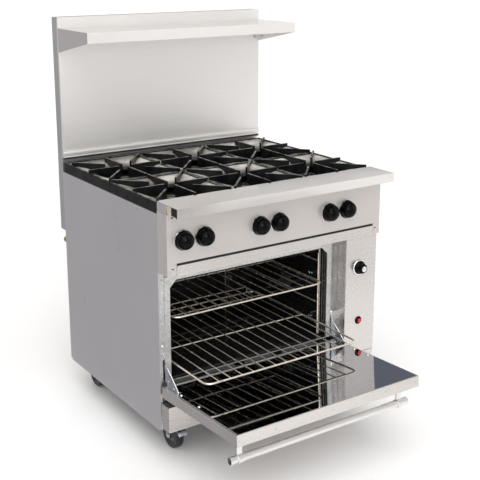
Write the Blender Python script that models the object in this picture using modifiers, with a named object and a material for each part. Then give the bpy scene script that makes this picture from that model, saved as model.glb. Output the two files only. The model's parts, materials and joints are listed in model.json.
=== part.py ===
"""Commercial gas range with six open burners, one oven, a riser with a high shelf, and casters.

X runs to the right, the front faces -Y and Z is up.  The origin is on the floor, under the middle
of the object's box with the oven door open.  Depths in the constants are measured back from the
face of the control panel, and place() turns them into world positions.
"""
import math

import bmesh
import bpy
from mathutils import Matrix, Vector

# ---- Overall ----
HALF_WIDTH = 0.4572            # a 36 inch range
PANEL_TOP = 0.8840
GRATE_TOP = 0.9330             # cooking surface
RISER_TOP = 1.4730
REAR_Y = 0.8450                # back of the flue shield
SIDE_FRONT_Y = 0.0624
SIDE_REAR_Y = 0.8040
SHEET = 0.0015
GAP = 0.0003                   # between touching pieces

# ---- Oven door, in its own frame: hinge axis at the origin, door lying open towards -Y ----
HINGE_Y = 0.0225
HINGE_Z = 0.2505
DOOR_TILT = math.radians(2.6)  # the open door rests this much above level
DOOR_LEFT = -HALF_WIDTH
DOOR_RIGHT = 0.2950
DOOR_REACH = 0.4270            # hinge axis to the far edge
DOOR_HEEL = 0.0265             # hinge axis to the near edge
DOOR_OUTER = -0.0105
DOOR_SEAM = 0.0285             # top of the outer shell
DOOR_INNER = 0.0300            # inner face of the liner
HINGE_ARM_X = (DOOR_LEFT + 0.0140, DOOR_RIGHT - 0.0140)
HANDLE_DROP = 0.0800
HANDLE_REACH = 0.3720
HANDLE_RADIUS = 0.0127
HANDLE_OVERHANG = 0.0060
BRACKET_INSET = 0.0430

# ---- Oven ----
OVEN_LEFT = -0.4170
OVEN_RIGHT = 0.2570
OVEN_FLOOR_Z = 0.2880
OVEN_TOP_Z = 0.6500
OVEN_REAR_Y = 0.7750
OVEN_CENTRE = (OVEN_LEFT + OVEN_RIGHT) / 2
MOUTH_CHAMFER = 0.0250
FRONT_FRAME_Y = 0.0600
RIM_WIDTH = 0.0205
RIM_Y = 0.0565

# ---- Racks ----
RACK_HALF_WIDTH = 0.3200
RACK_DEPTH = 0.6420
RACK_ROD = 0.0040
RACK_WIRE = 0.0022
RACK_WIRES = 13
RACK_STOP = 0.0250             # height of the raised bar at the back
LOWER_RACK_Z = 0.3450
LOWER_RACK_Y = -0.1410
UPPER_RACK_Z = 0.5100
UPPER_RACK_Y = 0.0610
GUIDE_LEVELS = (0.3450, 0.4275, 0.5100, 0.5925)

# ---- Cooktop ----
BURNER_X = (-0.3048, 0.0, 0.3048)
FRONT_BURNER_Y = 0.2325
REAR_BURNER_Y = 0.5750
GRATE_FRONT_Y = 0.0625
GRATE_SEAM_Y = 0.4050
GRATE_REAR_Y = 0.7862          # clear of the riser's bead when a grate is lifted
GRATE_BOTTOM = 0.8860
GRATE_FRAME_TOP = 0.9225
BURNER_TOP = 0.8840
DECK_Z = 0.8660

# ---- Control panel ----
VALVE_PANEL_BOTTOM = 0.6830
VALVE_PANEL_TOP = 0.8945
VALVE_PANEL_DEPTH = 0.0620
KNOB_Z = 0.8010
KNOB_PAIRS = (-0.3556, -0.0508, 0.2540)
KNOB_SPACING = 0.0800
KNOB_RADIUS = 0.0335
KNOB_LENGTH = 0.0340
STEM_RADIUS = 0.0040
TRAY_LEFT = -0.4205
TRAY_RIGHT = 0.4235
TRAY_LIP_BOTTOM = 0.6810
TRAY_LIP_TOP = 0.7165
TRAY_DEPTH = 0.5600

# ---- Gas pipes and burners ----
GAS_RUN_X = -0.4385
GAS_RUN_Z = 0.7250
GAS_DROP_Y = 0.7000            # where the run drops to the inlet
GAS_PIPE_RADIUS = 0.0095
INLET_RADIUS = 0.0125
INLET_Y = 0.8410
INLET_Z = 0.6000
MANIFOLD_Y = 0.0460
MANIFOLD_Z = 0.7900
MANIFOLD_END_X = 0.4300
FRONT_MIXER_Z = 0.8300
REAR_MIXER_Z = 0.7950
MIXER_RADIUS = 0.0135
BURNER_RADIUS = 0.0450
DECK_HOLE_RADIUS = 0.0700
OVEN_BURNER_Z = 0.2350
OVEN_BURNER_RADIUS = 0.0160
OVEN_BURNER_HALF = 0.1700
OVEN_BURNER_Y = (0.1300, 0.6600)

# ---- Landing ledge ----
LEDGE_FRONT_Y = -0.0700
LEDGE_TOP = 0.9280
LEDGE_LIP = 0.0330

# ---- Service column and kick panel ----
COLUMN_LEFT = 0.3115
COLUMN_FACE_Y = 0.0120
COLUMN_BOTTOM = 0.2145
COLUMN_TOP = 0.6805
THERMOSTAT_X = 0.3750
THERMOSTAT_Z = 0.5590
THERMOSTAT_RADIUS = 0.0260
IGNITER_X = 0.3790
IGNITER_Z = 0.3460
KICK_BOTTOM = 0.1200
KICK_TOP = 0.2125

# ---- Riser and high shelf ----
RISER_Y = 0.7910
RISER_BOTTOM = 0.9400
BEAD_TOP = 0.9670
SHELF_FRONT_Y = 0.5370
SHELF_TOP = 1.4326
SHELF_LIP = 0.0380
SHELF_BRACKET = 0.0900
FLUE_REAR_Y = 0.8430
FLUE_BOTTOM = 0.8855
SHIELD_BOTTOM = 0.6470

# ---- Running gear ----
FRAME_BOTTOM = 0.1310
FRAME_HEIGHT = 0.0350
FRAME_RAIL = 0.0400
CASTER_X = 0.3780
CASTER_FRONT_Y = 0.1500
CASTER_REAR_Y = 0.6900
CASTER_TRAIL = 0.0300
WHEEL_RADIUS = 0.0508
WHEEL_WIDTH = 0.0340
AXLE_RADIUS = 0.0040
PAD_HALF = 0.0550
PAD_BOTTOM = 0.1275

DOOR_FRONT_Y = HINGE_Y - DOOR_REACH * math.cos(DOOR_TILT) + DOOR_OUTER * math.sin(DOOR_TILT)
PANEL_FACE_Y = -(DOOR_FRONT_Y + REAR_Y) / 2     # world Y of the control panel's face

# name: (colour, metallic, roughness)
FINISHES = {
    "stainless": ((0.62, 0.60, 0.58), 1.0, 0.30),
    "galvanised": ((0.58, 0.58, 0.57), 1.0, 0.40),
    "mirror_steel": ((0.60, 0.61, 0.64), 1.0, 0.12),
    "cast_iron": ((0.03, 0.03, 0.033), 0.3, 0.55),
    "enamel": ((0.012, 0.012, 0.014), 0.0, 0.15),
    "chrome": ((0.80, 0.76, 0.68), 1.0, 0.15),
    "steel": ((0.30, 0.30, 0.31), 0.9, 0.45),
    "brass": ((0.60, 0.45, 0.20), 1.0, 0.30),
    "black_plastic": ((0.012, 0.012, 0.012), 0.0, 0.20),
    "red_plastic": ((0.60, 0.02, 0.04), 0.0, 0.30),
    "zinc": ((0.42, 0.46, 0.50), 1.0, 0.35),
    "rubber": ((0.015, 0.015, 0.016), 0.0, 0.60),
}


# ---- Modelling helpers ----

def place(x, y, z):
    """World position of a point given by its depth behind the control panel's face."""
    return Vector((x, y + PANEL_FACE_Y, z))


def new_object(name, data):
    node = bpy.data.objects.new(name, data)
    parts.objects.link(node)
    return node


def discard(node):
    data = node.data
    bpy.data.objects.remove(node)
    store = bpy.data.meshes if isinstance(data, bpy.types.Mesh) else bpy.data.curves
    store.remove(data)


def evaluated_mesh(node):
    bpy.context.view_layer.update()
    graph = bpy.context.evaluated_depsgraph_get()
    return bpy.data.meshes.new_from_object(node.evaluated_get(graph))


def bake(node):
    """Replace an object's mesh by what its modifiers make of it."""
    mesh = evaluated_mesh(node)
    node.modifiers.clear()
    spent = node.data
    node.data = mesh
    bpy.data.meshes.remove(spent)
    return node


def combine(node, tools, operation):
    """Join the tools to a piece, or cut them away, in one Boolean."""
    group = bpy.data.collections.new("tools")
    bpy.context.scene.collection.children.link(group)
    for tool in tools:
        group.objects.link(tool)
    cut = node.modifiers.new("Boolean", "BOOLEAN")
    cut.operation = operation
    cut.solver = "EXACT"
    cut.operand_type = "COLLECTION"
    cut.collection = group
    bake(node)
    for tool in tools:
        discard(tool)
    bpy.data.collections.remove(group)
    return node


def join(node, *tools):
    return combine(node, tools, "UNION")


def cut(node, *tools):
    return combine(node, tools, "DIFFERENCE")


def box(name, x, y, z):
    """A box between two values of x, of depth and of z."""
    low = place(x[0], y[0], z[0])
    high = place(x[1], y[1], z[1])
    mesh = bpy.data.meshes.new(name)
    shape = bmesh.new()
    bmesh.ops.create_cube(shape, size=1.0)
    bmesh.ops.scale(shape, vec=high - low, verts=shape.verts)
    shape.to_mesh(mesh)
    shape.free()
    node = new_object(name, mesh)
    node.location = (low + high) / 2
    return node


def tray(name, x, y, z, open_sides, wall=SHEET):
    """A sheet box; open_sides names the sides left open, such as '-y +z'."""
    spans = {"x": list(x), "y": list(y), "z": list(z)}
    for axis, (low, high) in spans.items():
        spans[axis][0] = low - wall if "-" + axis in open_sides else low + wall
        spans[axis][1] = high + wall if "+" + axis in open_sides else high - wall
    return cut(box(name, x, y, z), box("hollow", spans["x"], spans["y"], spans["z"]))


AXIS_TURNS = {
    "x": Matrix.Rotation(math.radians(90), 4, "Y"),
    "y": Matrix.Rotation(math.radians(90), 4, "X"),      # the profile's +Z faces the front
    "z": Matrix.Identity(4),
}


def cylinder(name, centre, radius, length, axis="z", sides=20):
    mesh = bpy.data.meshes.new(name)
    shape = bmesh.new()
    bmesh.ops.create_cone(shape, cap_ends=True, segments=sides, radius1=radius, radius2=radius,
                          depth=length)
    shape.to_mesh(mesh)
    shape.free()
    node = new_object(name, mesh)
    node.matrix_world = Matrix.Translation(place(*centre)) @ AXIS_TURNS[axis]
    return node


def turned(name, profile, centre, axis="z", sides=24):
    """A turned piece from (radius, height) points that run from the top down the outside."""
    mesh = bpy.data.meshes.new(name)
    shape = bmesh.new()
    points = [shape.verts.new((radius, 0, height)) for radius, height in profile]
    for first, second in zip(points, points[1:]):
        shape.edges.new((first, second))
    shape.to_mesh(mesh)
    shape.free()
    node = new_object(name, mesh)
    node.matrix_world = Matrix.Translation(place(*centre)) @ AXIS_TURNS[axis]
    screw = node.modifiers.new("Screw", "SCREW")
    screw.steps = sides
    screw.render_steps = sides
    screw.use_merge_vertices = True
    screw.merge_threshold = 0.00001
    bake(node)
    return node


OUTLINE_TURNS = {
    "x": Matrix(((0, 0, 1, 0), (1, 0, 0, 0), (0, 1, 0, 0), (0, 0, 0, 1))),     # outline in (y, z)
    "y": Matrix(((1, 0, 0, 0), (0, 0, -1, 0), (0, 1, 0, 0), (0, 0, 0, 1))),    # outline in (x, z)
    "z": Matrix.Identity(4),                                                  # outline in (x, y)
}


def plate(name, outline, axis, low, high):
    """A flat outline, pushed along an axis from low to high."""
    curve = bpy.data.curves.new(name, "CURVE")
    curve.dimensions = "2D"
    curve.fill_mode = "BOTH"
    curve.extrude = (high - low) / 2
    spline = curve.splines.new("POLY")
    spline.points.add(len(outline) - 1)
    for point, (u, v) in zip(spline.points, outline):
        point.co = (u, v, 0, 1)
    spline.use_cyclic_u = True
    node = new_object(name, curve)
    centre = {"x": Vector((1, 0, 0)), "y": Vector((0, 1, 0)), "z": Vector((0, 0, 1))}[axis]
    offset = place(0, 0, 0) + centre * (low + high) / 2
    node.matrix_world = Matrix.Translation(offset) @ OUTLINE_TURNS[axis]
    return curve_to_mesh(node)


def tube(name, points, radius, resolution=1, cyclic=False):
    """A round rod along straight runs between points."""
    curve = bpy.data.curves.new(name, "CURVE")
    curve.dimensions = "3D"
    curve.bevel_depth = radius
    curve.bevel_resolution = resolution
    curve.use_fill_caps = True
    spline = curve.splines.new("POLY")
    spline.points.add(len(points) - 1)
    for point, co in zip(spline.points, points):
        point.co = (*place(*co), 1)
    spline.use_cyclic_u = cyclic
    return curve_to_mesh(new_object(name, curve))


def curve_to_mesh(node):
    mesh = evaluated_mesh(node)
    shape = bmesh.new()
    shape.from_mesh(mesh)
    bmesh.ops.remove_doubles(shape, verts=shape.verts, dist=0.00001)
    bmesh.ops.recalc_face_normals(shape, faces=shape.faces)
    shape.to_mesh(mesh)
    shape.free()
    name, world = node.name, node.matrix_world.copy()
    discard(node)
    solid = new_object(name, mesh)
    solid.matrix_world = world
    return solid


def round_corner(centre, start, end, radius, steps=3):
    """Points of an arc in the XY plane; start and end are angles in degrees."""
    angles = [math.radians(start + (end - start) * step / steps) for step in range(steps + 1)]
    return [(centre[0] + radius * math.cos(angle), centre[1] + radius * math.sin(angle))
            for angle in angles]


def finish(node, material, smooth=False):
    """Give a node its material, and round shading if it is a round piece."""
    node.data.materials.clear()
    node.data.materials.append(bpy.data.materials[material])
    if smooth:
        node.data.shade_smooth()
        node.data.set_sharp_from_angle(angle=math.radians(35))
    return node


def empty(name, location):
    node = new_object(name, None)
    node.location = location
    return node


def hang(node, parent):
    """Parent a piece to an empty on its joint axis, and leave it where it is."""
    bpy.context.view_layer.update()
    node.parent = parent
    node.matrix_parent_inverse = parent.matrix_world.inverted()
    return node


# ---- Frame and casings ----

def make_base_frame():
    half = HALF_WIDTH - 0.0052
    top = FRAME_BOTTOM + FRAME_HEIGHT
    height = (FRAME_BOTTOM, top)
    front, rear = SIDE_FRONT_Y + 0.0036, SIDE_REAR_Y - 0.0140
    frame = box("base_frame", (-half, half), (front, rear), height)
    inside = [-half + FRAME_RAIL, half - FRAME_RAIL]
    cut(frame, box("inside", inside, (front + FRAME_RAIL, rear - FRAME_RAIL), (0, 1)))
    pieces = [box("cross", (-half + 0.01, half - 0.01), (y, y + FRAME_RAIL), height) for y in (0.30, 0.52)]
    for x in (-CASTER_X, CASTER_X):
        for y in (CASTER_FRONT_Y, CASTER_REAR_Y):
            span = (PAD_BOTTOM, FRAME_BOTTOM + 0.004)
            pieces.append(box("pad", (x - PAD_HALF, x + PAD_HALF), (y - PAD_HALF, y + PAD_HALF), span))
    finish(join(frame, *pieces), "steel")


def make_side_panel(name, side):
    """Folded sheet with a narrow front flange, a top flange and notched bottom corners."""
    outer, inner = HALF_WIDTH, HALF_WIDTH - SHEET
    height = (0.1040, PANEL_TOP)
    panel = box(name, sorted((side * outer, side * inner)), (SIDE_FRONT_Y, SIDE_REAR_Y), height)
    flange = sorted((side * (outer - 0.0005), side * (inner - 0.0050)))
    front = box("front", flange, (SIDE_FRONT_Y, SIDE_FRONT_Y + SHEET), (0.1140, PANEL_TOP - 0.0002))
    top = box("top", flange, (SIDE_FRONT_Y + 0.0005, SIDE_REAR_Y), (PANEL_TOP - SHEET, PANEL_TOP))
    join(panel, front, top)
    notch_x = (side * outer - 0.01, side * outer + 0.01)
    notches = [box("notch", notch_x, (y - 0.0120, y + 0.0120), (0.0900, 0.1120))
               for y in (SIDE_FRONT_Y, SIDE_REAR_Y)]
    finish(cut(panel, *notches), "stainless")


def make_rear_panel():
    half = HALF_WIDTH - 0.0080
    panel = box("rear_panel", (-half, half), (0.7960, 0.7975), (0.1700, 0.8800))
    louvres = []
    for row in range(3):
        for column in (-1, 0, 1):
            x, z = column * 0.24, 0.26 + row * 0.03
            louvres.append(box("louvre", (x - 0.07, x + 0.07), (0.78, 0.81), (z, z + 0.008)))
    louvres.append(cylinder("inlet", (GAS_RUN_X, 0.797, INLET_Z), INLET_RADIUS + 0.0005, 0.02, "y", 12))
    finish(cut(panel, *louvres), "galvanised")


def make_kick_panel():
    half = HALF_WIDTH - 0.0022
    panel = tray("kick_panel", (-half, half), (COLUMN_FACE_Y, 0.0590), (KICK_BOTTOM, KICK_TOP), "+y -z")
    finish(panel, "stainless")


def mouth_outline(margin):
    """The oven mouth with its two cut top corners, grown by a margin."""
    left, right = OVEN_LEFT - margin, OVEN_RIGHT + margin
    bottom, top = OVEN_FLOOR_Z + 0.0025, OVEN_TOP_Z - 0.0020 + margin
    return [(left, bottom), (right, bottom), (right, top - MOUTH_CHAMFER),
            (right - MOUTH_CHAMFER, top), (left + MOUTH_CHAMFER, top), (left, top - MOUTH_CHAMFER)]


def make_oven_front_frame():
    half = HALF_WIDTH - 0.0022
    thickness = 0.0018
    depth = (FRONT_FRAME_Y, FRONT_FRAME_Y + thickness)
    frame = box("oven_front_frame", (-half, half), depth, (0.2880, 0.6820))
    leg = box("leg", (DOOR_RIGHT + 0.0040, half), depth, (0.1750, 0.3000))
    rim = box("rim", (OVEN_LEFT - RIM_WIDTH, OVEN_RIGHT + RIM_WIDTH),
              (RIM_Y, FRONT_FRAME_Y + 0.0005), (0.2880, OVEN_TOP_Z + 0.0120))
    join(frame, leg, rim)
    slots = []
    for x in HINGE_ARM_X:
        slots.append(box("slot", (x - 0.0042, x + 0.0042), (RIM_Y - 0.01, 0.0700), (0.2000, 0.3700)))
    mouth = plate("mouth", mouth_outline(0), "y", RIM_Y - 0.01, FRONT_FRAME_Y + 0.01)
    finish(cut(frame, mouth, *slots), "galvanised")


def make_service_column():
    column = tray("service_column", (COLUMN_LEFT, HALF_WIDTH), (COLUMN_FACE_Y, FRONT_FRAME_Y - GAP),
                  (COLUMN_BOTTOM, COLUMN_TOP), "+y")
    shaft = cylinder("shaft", (THERMOSTAT_X, COLUMN_FACE_Y, THERMOSTAT_Z), 0.0060, 0.02, "y", 16)
    button = cylinder("button", (IGNITER_X, COLUMN_FACE_Y, IGNITER_Z), 0.0083, 0.02, "y", 20)
    finish(cut(column, shaft, button), "stainless")


def knob_positions():
    return [pair + side * KNOB_SPACING / 2 for pair in KNOB_PAIRS for side in (-1, 1)]


def make_valve_panel():
    height = (VALVE_PANEL_BOTTOM, VALVE_PANEL_TOP)
    panel = tray("valve_panel", (-HALF_WIDTH, HALF_WIDTH), (0, VALVE_PANEL_DEPTH), height, "+y -z")
    notch = box("notch", (TRAY_LEFT - 0.0015, TRAY_RIGHT + 0.0015), (-0.01, 0.0040),
                (VALVE_PANEL_BOTTOM - 0.01, TRAY_LIP_TOP + 0.0030))
    stems = [cylinder("stem", (x, 0, KNOB_Z), STEM_RADIUS + 0.0020, 0.02, "y", 12) for x in knob_positions()]
    finish(cut(panel, notch, *stems), "stainless")


def make_landing_ledge():
    """Folded plate: top, front lip, hem under the lip, and a rear flange."""
    x = (-HALF_WIDTH, HALF_WIDTH)
    thickness = 0.0018
    bottom = LEDGE_TOP - LEDGE_LIP
    rear = SIDE_FRONT_Y - 0.0014
    ledge = box("landing_ledge", x, (LEDGE_FRONT_Y, rear), (LEDGE_TOP - thickness, LEDGE_TOP))
    lip = box("lip", x, (LEDGE_FRONT_Y, LEDGE_FRONT_Y + thickness), (bottom, LEDGE_TOP))
    hem = box("hem", x, (LEDGE_FRONT_Y, LEDGE_FRONT_Y + 0.0120), (bottom, bottom + thickness))
    flange = box("flange", x, (rear - thickness, rear), (bottom, LEDGE_TOP))
    finish(join(ledge, lip, hem, flange), "stainless")


def make_burner_box():
    """Sheet box under the grates, with a deck that has a round hole for each burner."""
    half = HALF_WIDTH - 0.0069
    wall_top = GRATE_BOTTOM - GAP
    front, rear = SIDE_FRONT_Y + 0.0036, 0.7940
    pan = tray("burner_box", (-half, half), (front, rear), (0.7400, wall_top), "-z +z")
    deck = box("deck", (-half + 0.001, half - 0.001), (front + 0.001, rear - 0.001),
               (DECK_Z, DECK_Z + SHEET))
    braces = [box("brace", (-half + 0.001, half - 0.001), (y, y + 0.025), (0.7450, 0.7650))
              for y in (0.395, 0.730)]
    join(pan, deck, *braces)
    openings = []
    for x in BURNER_X:
        for y, tube_z in ((FRONT_BURNER_Y, FRONT_MIXER_Z), (REAR_BURNER_Y, REAR_MIXER_Z)):
            openings.append(cylinder("burner", (x, y, DECK_Z), DECK_HOLE_RADIUS, 0.02, "z", 16))
            openings.append(cylinder("orifice", (x, front, tube_z), 0.0100, 0.02, "y", 8))
    finish(cut(pan, *openings), "galvanised")


def make_riser():
    x = (-HALF_WIDTH, HALF_WIDTH)
    panel = tray("riser_front_panel", x, (RISER_Y, RISER_Y + 0.0100), (RISER_BOTTOM, RISER_TOP), "+y")
    bead = box("bead", x, (RISER_Y - 0.0040, RISER_Y + 0.0010), (RISER_BOTTOM, BEAD_TOP))
    finish(join(panel, bead), "stainless")

    flue = tray("riser_flue_box", x, (RISER_Y + 0.0100 + GAP, FLUE_REAR_Y),
                (FLUE_BOTTOM, RISER_TOP - 0.0010), "-z +z")
    finish(flue, "stainless")

    shield = tray("rear_shield", x, (SIDE_REAR_Y + GAP, REAR_Y), (SHIELD_BOTTOM, FLUE_BOTTOM - GAP),
                  "-y -z +z")
    finish(shield, "stainless")


def make_high_shelf():
    """Folded shelf with end brackets that deepen towards the riser."""
    rear = RISER_Y - GAP
    lip_bottom = SHELF_TOP - SHELF_LIP
    x = (-HALF_WIDTH, HALF_WIDTH)
    shelf = box("high_shelf", x, (SHELF_FRONT_Y, rear), (SHELF_TOP - SHEET, SHELF_TOP))
    lip = box("lip", x, (SHELF_FRONT_Y, SHELF_FRONT_Y + SHEET), (lip_bottom, SHELF_TOP))
    hem = box("hem", x, (SHELF_FRONT_Y, SHELF_FRONT_Y + 0.0140), (lip_bottom, lip_bottom + SHEET))
    flange = box("flange", x, (rear - SHEET, rear), (SHELF_TOP - 0.0300, SHELF_TOP))
    outline = [(SHELF_FRONT_Y, lip_bottom), (rear, SHELF_TOP - SHELF_BRACKET), (rear, SHELF_TOP),
               (SHELF_FRONT_Y, SHELF_TOP)]
    brackets = [plate("bracket", outline, "x", *sorted((side * HALF_WIDTH, side * (HALF_WIDTH - SHEET))))
                for side in (-1, 1)]
    finish(join(shelf, lip, hem, flange, *brackets), "stainless")


# ---- Gas and heat ----

def make_gas_manifold():
    """Header pipe behind the control panel, its six valves and stems, and the run to the inlet."""
    route = [(MANIFOLD_END_X, MANIFOLD_Y, MANIFOLD_Z), (GAS_RUN_X, MANIFOLD_Y, MANIFOLD_Z),
             (GAS_RUN_X, MANIFOLD_Y, GAS_RUN_Z), (GAS_RUN_X, GAS_DROP_Y, GAS_RUN_Z),
             (GAS_RUN_X, GAS_DROP_Y, INLET_Z), (GAS_RUN_X, INLET_Y - 0.0050, INLET_Z)]
    pipe = tube("gas_manifold", route, GAS_PIPE_RADIUS, 2)
    pieces = [cylinder("inlet", (GAS_RUN_X, INLET_Y - 0.0120, INLET_Z), INLET_RADIUS, 0.024, "y", 12)]
    for x in knob_positions():
        pieces.append(cylinder("valve", (x, 0.0270, KNOB_Z), 0.0090, 0.030, "y", 8))
        pieces.append(cylinder("stem", (x, 0.0080, KNOB_Z), STEM_RADIUS, 0.0180, "y", 8))
    finish(join(pipe, *pieces), "brass", True)


def make_burner(name, x, y, mixer_z):
    """Cast head on a neck, with a mixer tube that runs forward to its valve."""
    profile = [(0.0, BURNER_TOP - 0.004), (0.016, BURNER_TOP - 0.004), (0.022, BURNER_TOP),
               (BURNER_RADIUS, BURNER_TOP - 0.010), (0.022, BURNER_TOP - 0.032), (0.018, mixer_z),
               (0.0, mixer_z)]
    head = turned(name, [(radius, z - mixer_z) for radius, z in profile], (x, y, mixer_z), "z", 16)
    front = SIDE_FRONT_Y + 0.0076
    rear = y + 0.008
    mixer = cylinder("mixer", (x, (front + rear) / 2, mixer_z - 0.002), MIXER_RADIUS, rear - front, "y", 10)
    finish(join(head, mixer), "cast_iron", True)


def make_oven_burner():
    """Square loop, open at the front, with a feed tube down its middle."""
    left, right = OVEN_CENTRE - OVEN_BURNER_HALF, OVEN_CENTRE + OVEN_BURNER_HALF
    front, rear = OVEN_BURNER_Y
    z = OVEN_BURNER_Z
    route = [(left, front, z), (left, rear, z), (right, rear, z), (right, front, z)]
    burner = tube("oven_burner", route, OVEN_BURNER_RADIUS, 2)
    middle = (OVEN_CENTRE, (front + rear) / 2, z)
    feed = cylinder("feed", middle, OVEN_BURNER_RADIUS, rear - front, "y", 12)
    finish(join(burner, feed), "cast_iron", True)


def make_thermostat():
    face = COLUMN_FACE_Y
    body = box("thermostat_body", (THERMOSTAT_X - 0.026, THERMOSTAT_X + 0.026), (face + 0.0025, 0.0550),
               (THERMOSTAT_Z - 0.030, THERMOSTAT_Z + 0.030))
    shaft = cylinder("shaft", (THERMOSTAT_X, face + 0.0010, THERMOSTAT_Z), 0.0040, 0.0070, "y", 12)
    finish(join(body, shaft), "steel")

    profile = [(0.0, 0.0300), (0.0145, 0.0300), (0.0175, 0.0270), (0.0200, 0.0120), (0.0220, 0.0080),
               (THERMOSTAT_RADIUS, 0.0060), (THERMOSTAT_RADIUS, 0.0), (0.0, 0.0)]
    knob = turned("thermostat_knob", profile, (THERMOSTAT_X, face - 0.0028, THERMOSTAT_Z), "y", 24)
    finish(knob, "black_plastic", True)


def make_igniter():
    """Threaded body with a flange on the column's face, and the push button in its bore."""
    face = COLUMN_FACE_Y
    profile = [(0.0, -0.0270), (0.0064, -0.0270), (0.0064, 0.0030), (0.0115, 0.0030), (0.0125, 0.0020),
               (0.0125, GAP), (0.0078, GAP), (0.0078, -0.0320), (0.0, -0.0320)]
    body = turned("igniter_body", profile, (IGNITER_X, face, IGNITER_Z), "y", 20)
    finish(body, "black_plastic", True)

    profile = [(0.0, 0.0085), (0.0035, 0.0082), (0.0054, 0.0068), (0.0060, 0.0050), (0.0060, -0.0200),
               (0.0, -0.0200)]
    button = turned("igniter_button", profile, (IGNITER_X, face, IGNITER_Z), "y", 16)
    finish(button, "red_plastic", True)


# ---- Oven ----

def make_oven_liner():
    wall = 0.0018
    liner = tray("oven_liner", (OVEN_LEFT - wall, OVEN_RIGHT + wall), (0.0628, OVEN_REAR_Y + wall),
                 (OVEN_FLOOR_Z - wall, OVEN_TOP_Z + wall), "-y", wall)
    openings = [box("heat", (OVEN_LEFT + 0.05, OVEN_RIGHT - 0.05), (0.15, 0.70), (0.27, OVEN_FLOOR_Z + 0.01))]
    for column in range(6):
        x = OVEN_CENTRE + (column - 2.5) * 0.09
        openings.append(box("flue", (x - 0.035, x + 0.035), (0.76, 0.79), (0.620, 0.632)))
    finish(cut(liner, *openings), "enamel")


def make_oven_floor():
    """Loose deck plate over the oven burner, with a row of heat slots along each side."""
    z = OVEN_FLOOR_Z + GAP
    floor = box("oven_floor", (OVEN_LEFT + 0.001, OVEN_RIGHT - 0.001), (0.0660, 0.7700), (z, z + 0.0020))
    slots = []
    for x in (OVEN_LEFT + 0.030, OVEN_RIGHT - 0.030):
        for row in range(5):
            y = 0.16 + row * 0.12
            slots.append(box("slot", (x - 0.006, x + 0.006), (y, y + 0.08), (z - 0.01, z + 0.01)))
    finish(cut(floor, *slots), "enamel")


def make_rack_guide(name, side):
    """Chrome ladder on the oven wall: two uprights and a ledge rod under each rack position."""
    wall = OVEN_LEFT if side < 0 else OVEN_RIGHT
    upright_x = wall - side * 0.0065
    ledge_x = wall - side * 0.0125
    ends = (0.0940, 0.7400)
    uprights = [tube("upright", [(upright_x, y, 0.2950), (upright_x, y, 0.6300)], 0.0035) for y in ends]
    ledges = []
    for level in GUIDE_LEVELS:
        z = level - 0.0062
        ledges.append(tube("ledge", [(ledge_x, ends[0] - 0.006, z), (ledge_x, ends[1] + 0.006, z)], 0.0030))
    guide = uprights.pop()
    guide.name = name
    finish(join(guide, *uprights, *ledges), "chrome", True)


def make_rack(name, y_front, z):
    """Rod frame with round front corners, a middle rod, front to back wires and a raised back stop."""
    corner = 0.0250
    left, right = OVEN_CENTRE - RACK_HALF_WIDTH, OVEN_CENTRE + RACK_HALF_WIDTH
    y_rear = y_front + RACK_DEPTH
    outline = []
    for x, y, start in ((left + corner, y_front + corner, 180), (right - corner, y_front + corner, 270),
                        (right - corner, y_rear - corner, 0), (left + corner, y_rear - corner, 90)):
        outline += round_corner((x, y), start, start + 90, corner)
    rack = tube(name, [(x, y, z) for x, y in outline], RACK_ROD, 1, True)
    rods = [tube("middle", [(left, (y_front + y_rear) / 2, z), (right, (y_front + y_rear) / 2, z)], 0.0032)]
    stop_z = z + RACK_STOP
    stop_y = y_rear - 0.0010
    rods.append(tube("stop", [(left + 0.04, stop_y, z), (left + 0.04, stop_y, stop_z),
                              (right - 0.04, stop_y, stop_z), (right - 0.04, stop_y, z)], 0.0030))
    for number in range(RACK_WIRES):
        x = left + (right - left) * (number + 1) / (RACK_WIRES + 1)
        rods.append(tube("wire", [(x, y_front - 0.0015, z + 0.0031), (x, y_rear + 0.0005, z + 0.0031)],
                         RACK_WIRE, 0))
    finish(join(rack, *rods), "chrome", True)


# ---- Door ----

def door_box(name, x, reach, height):
    """A box in the door's own frame: reach runs from the hinge axis towards the front."""
    return box(name, x, (HINGE_Y - reach[1], HINGE_Y - reach[0]),
               (HINGE_Z + height[0], HINGE_Z + height[1]))


def make_door(axis):
    shell = door_box("door_outer_shell", (DOOR_LEFT, DOOR_RIGHT), (-DOOR_HEEL, DOOR_REACH),
                     (DOOR_OUTER, DOOR_SEAM))
    inner = door_box("inner", (DOOR_LEFT + SHEET, DOOR_RIGHT - SHEET),
                     (-DOOR_HEEL + SHEET, DOOR_REACH - SHEET), (DOOR_OUTER + SHEET, DOOR_SEAM - SHEET))
    window = door_box("window", (DOOR_LEFT + 0.014, DOOR_RIGHT - 0.014),
                      (-DOOR_HEEL + 0.014, DOOR_REACH - 0.014), (DOOR_SEAM - 0.004, DOOR_SEAM + 0.004))
    finish(cut(shell, inner, window), "stainless")

    edge = 0.0060
    liner = door_box("door_liner", (DOOR_LEFT + edge, DOOR_RIGHT - edge),
                     (-DOOR_HEEL + edge, DOOR_REACH - 0.002), (DOOR_SEAM + GAP, DOOR_INNER))
    finish(liner, "mirror_steel")

    handle = make_handle()
    arms = [make_hinge_arm(name, x) for name, x in zip(("hinge_arm_left", "hinge_arm_right"), HINGE_ARM_X)]
    for node in (shell, liner, handle, *arms):
        hang(node, axis)
    axis.rotation_euler = (-DOOR_TILT, 0, 0)


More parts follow.
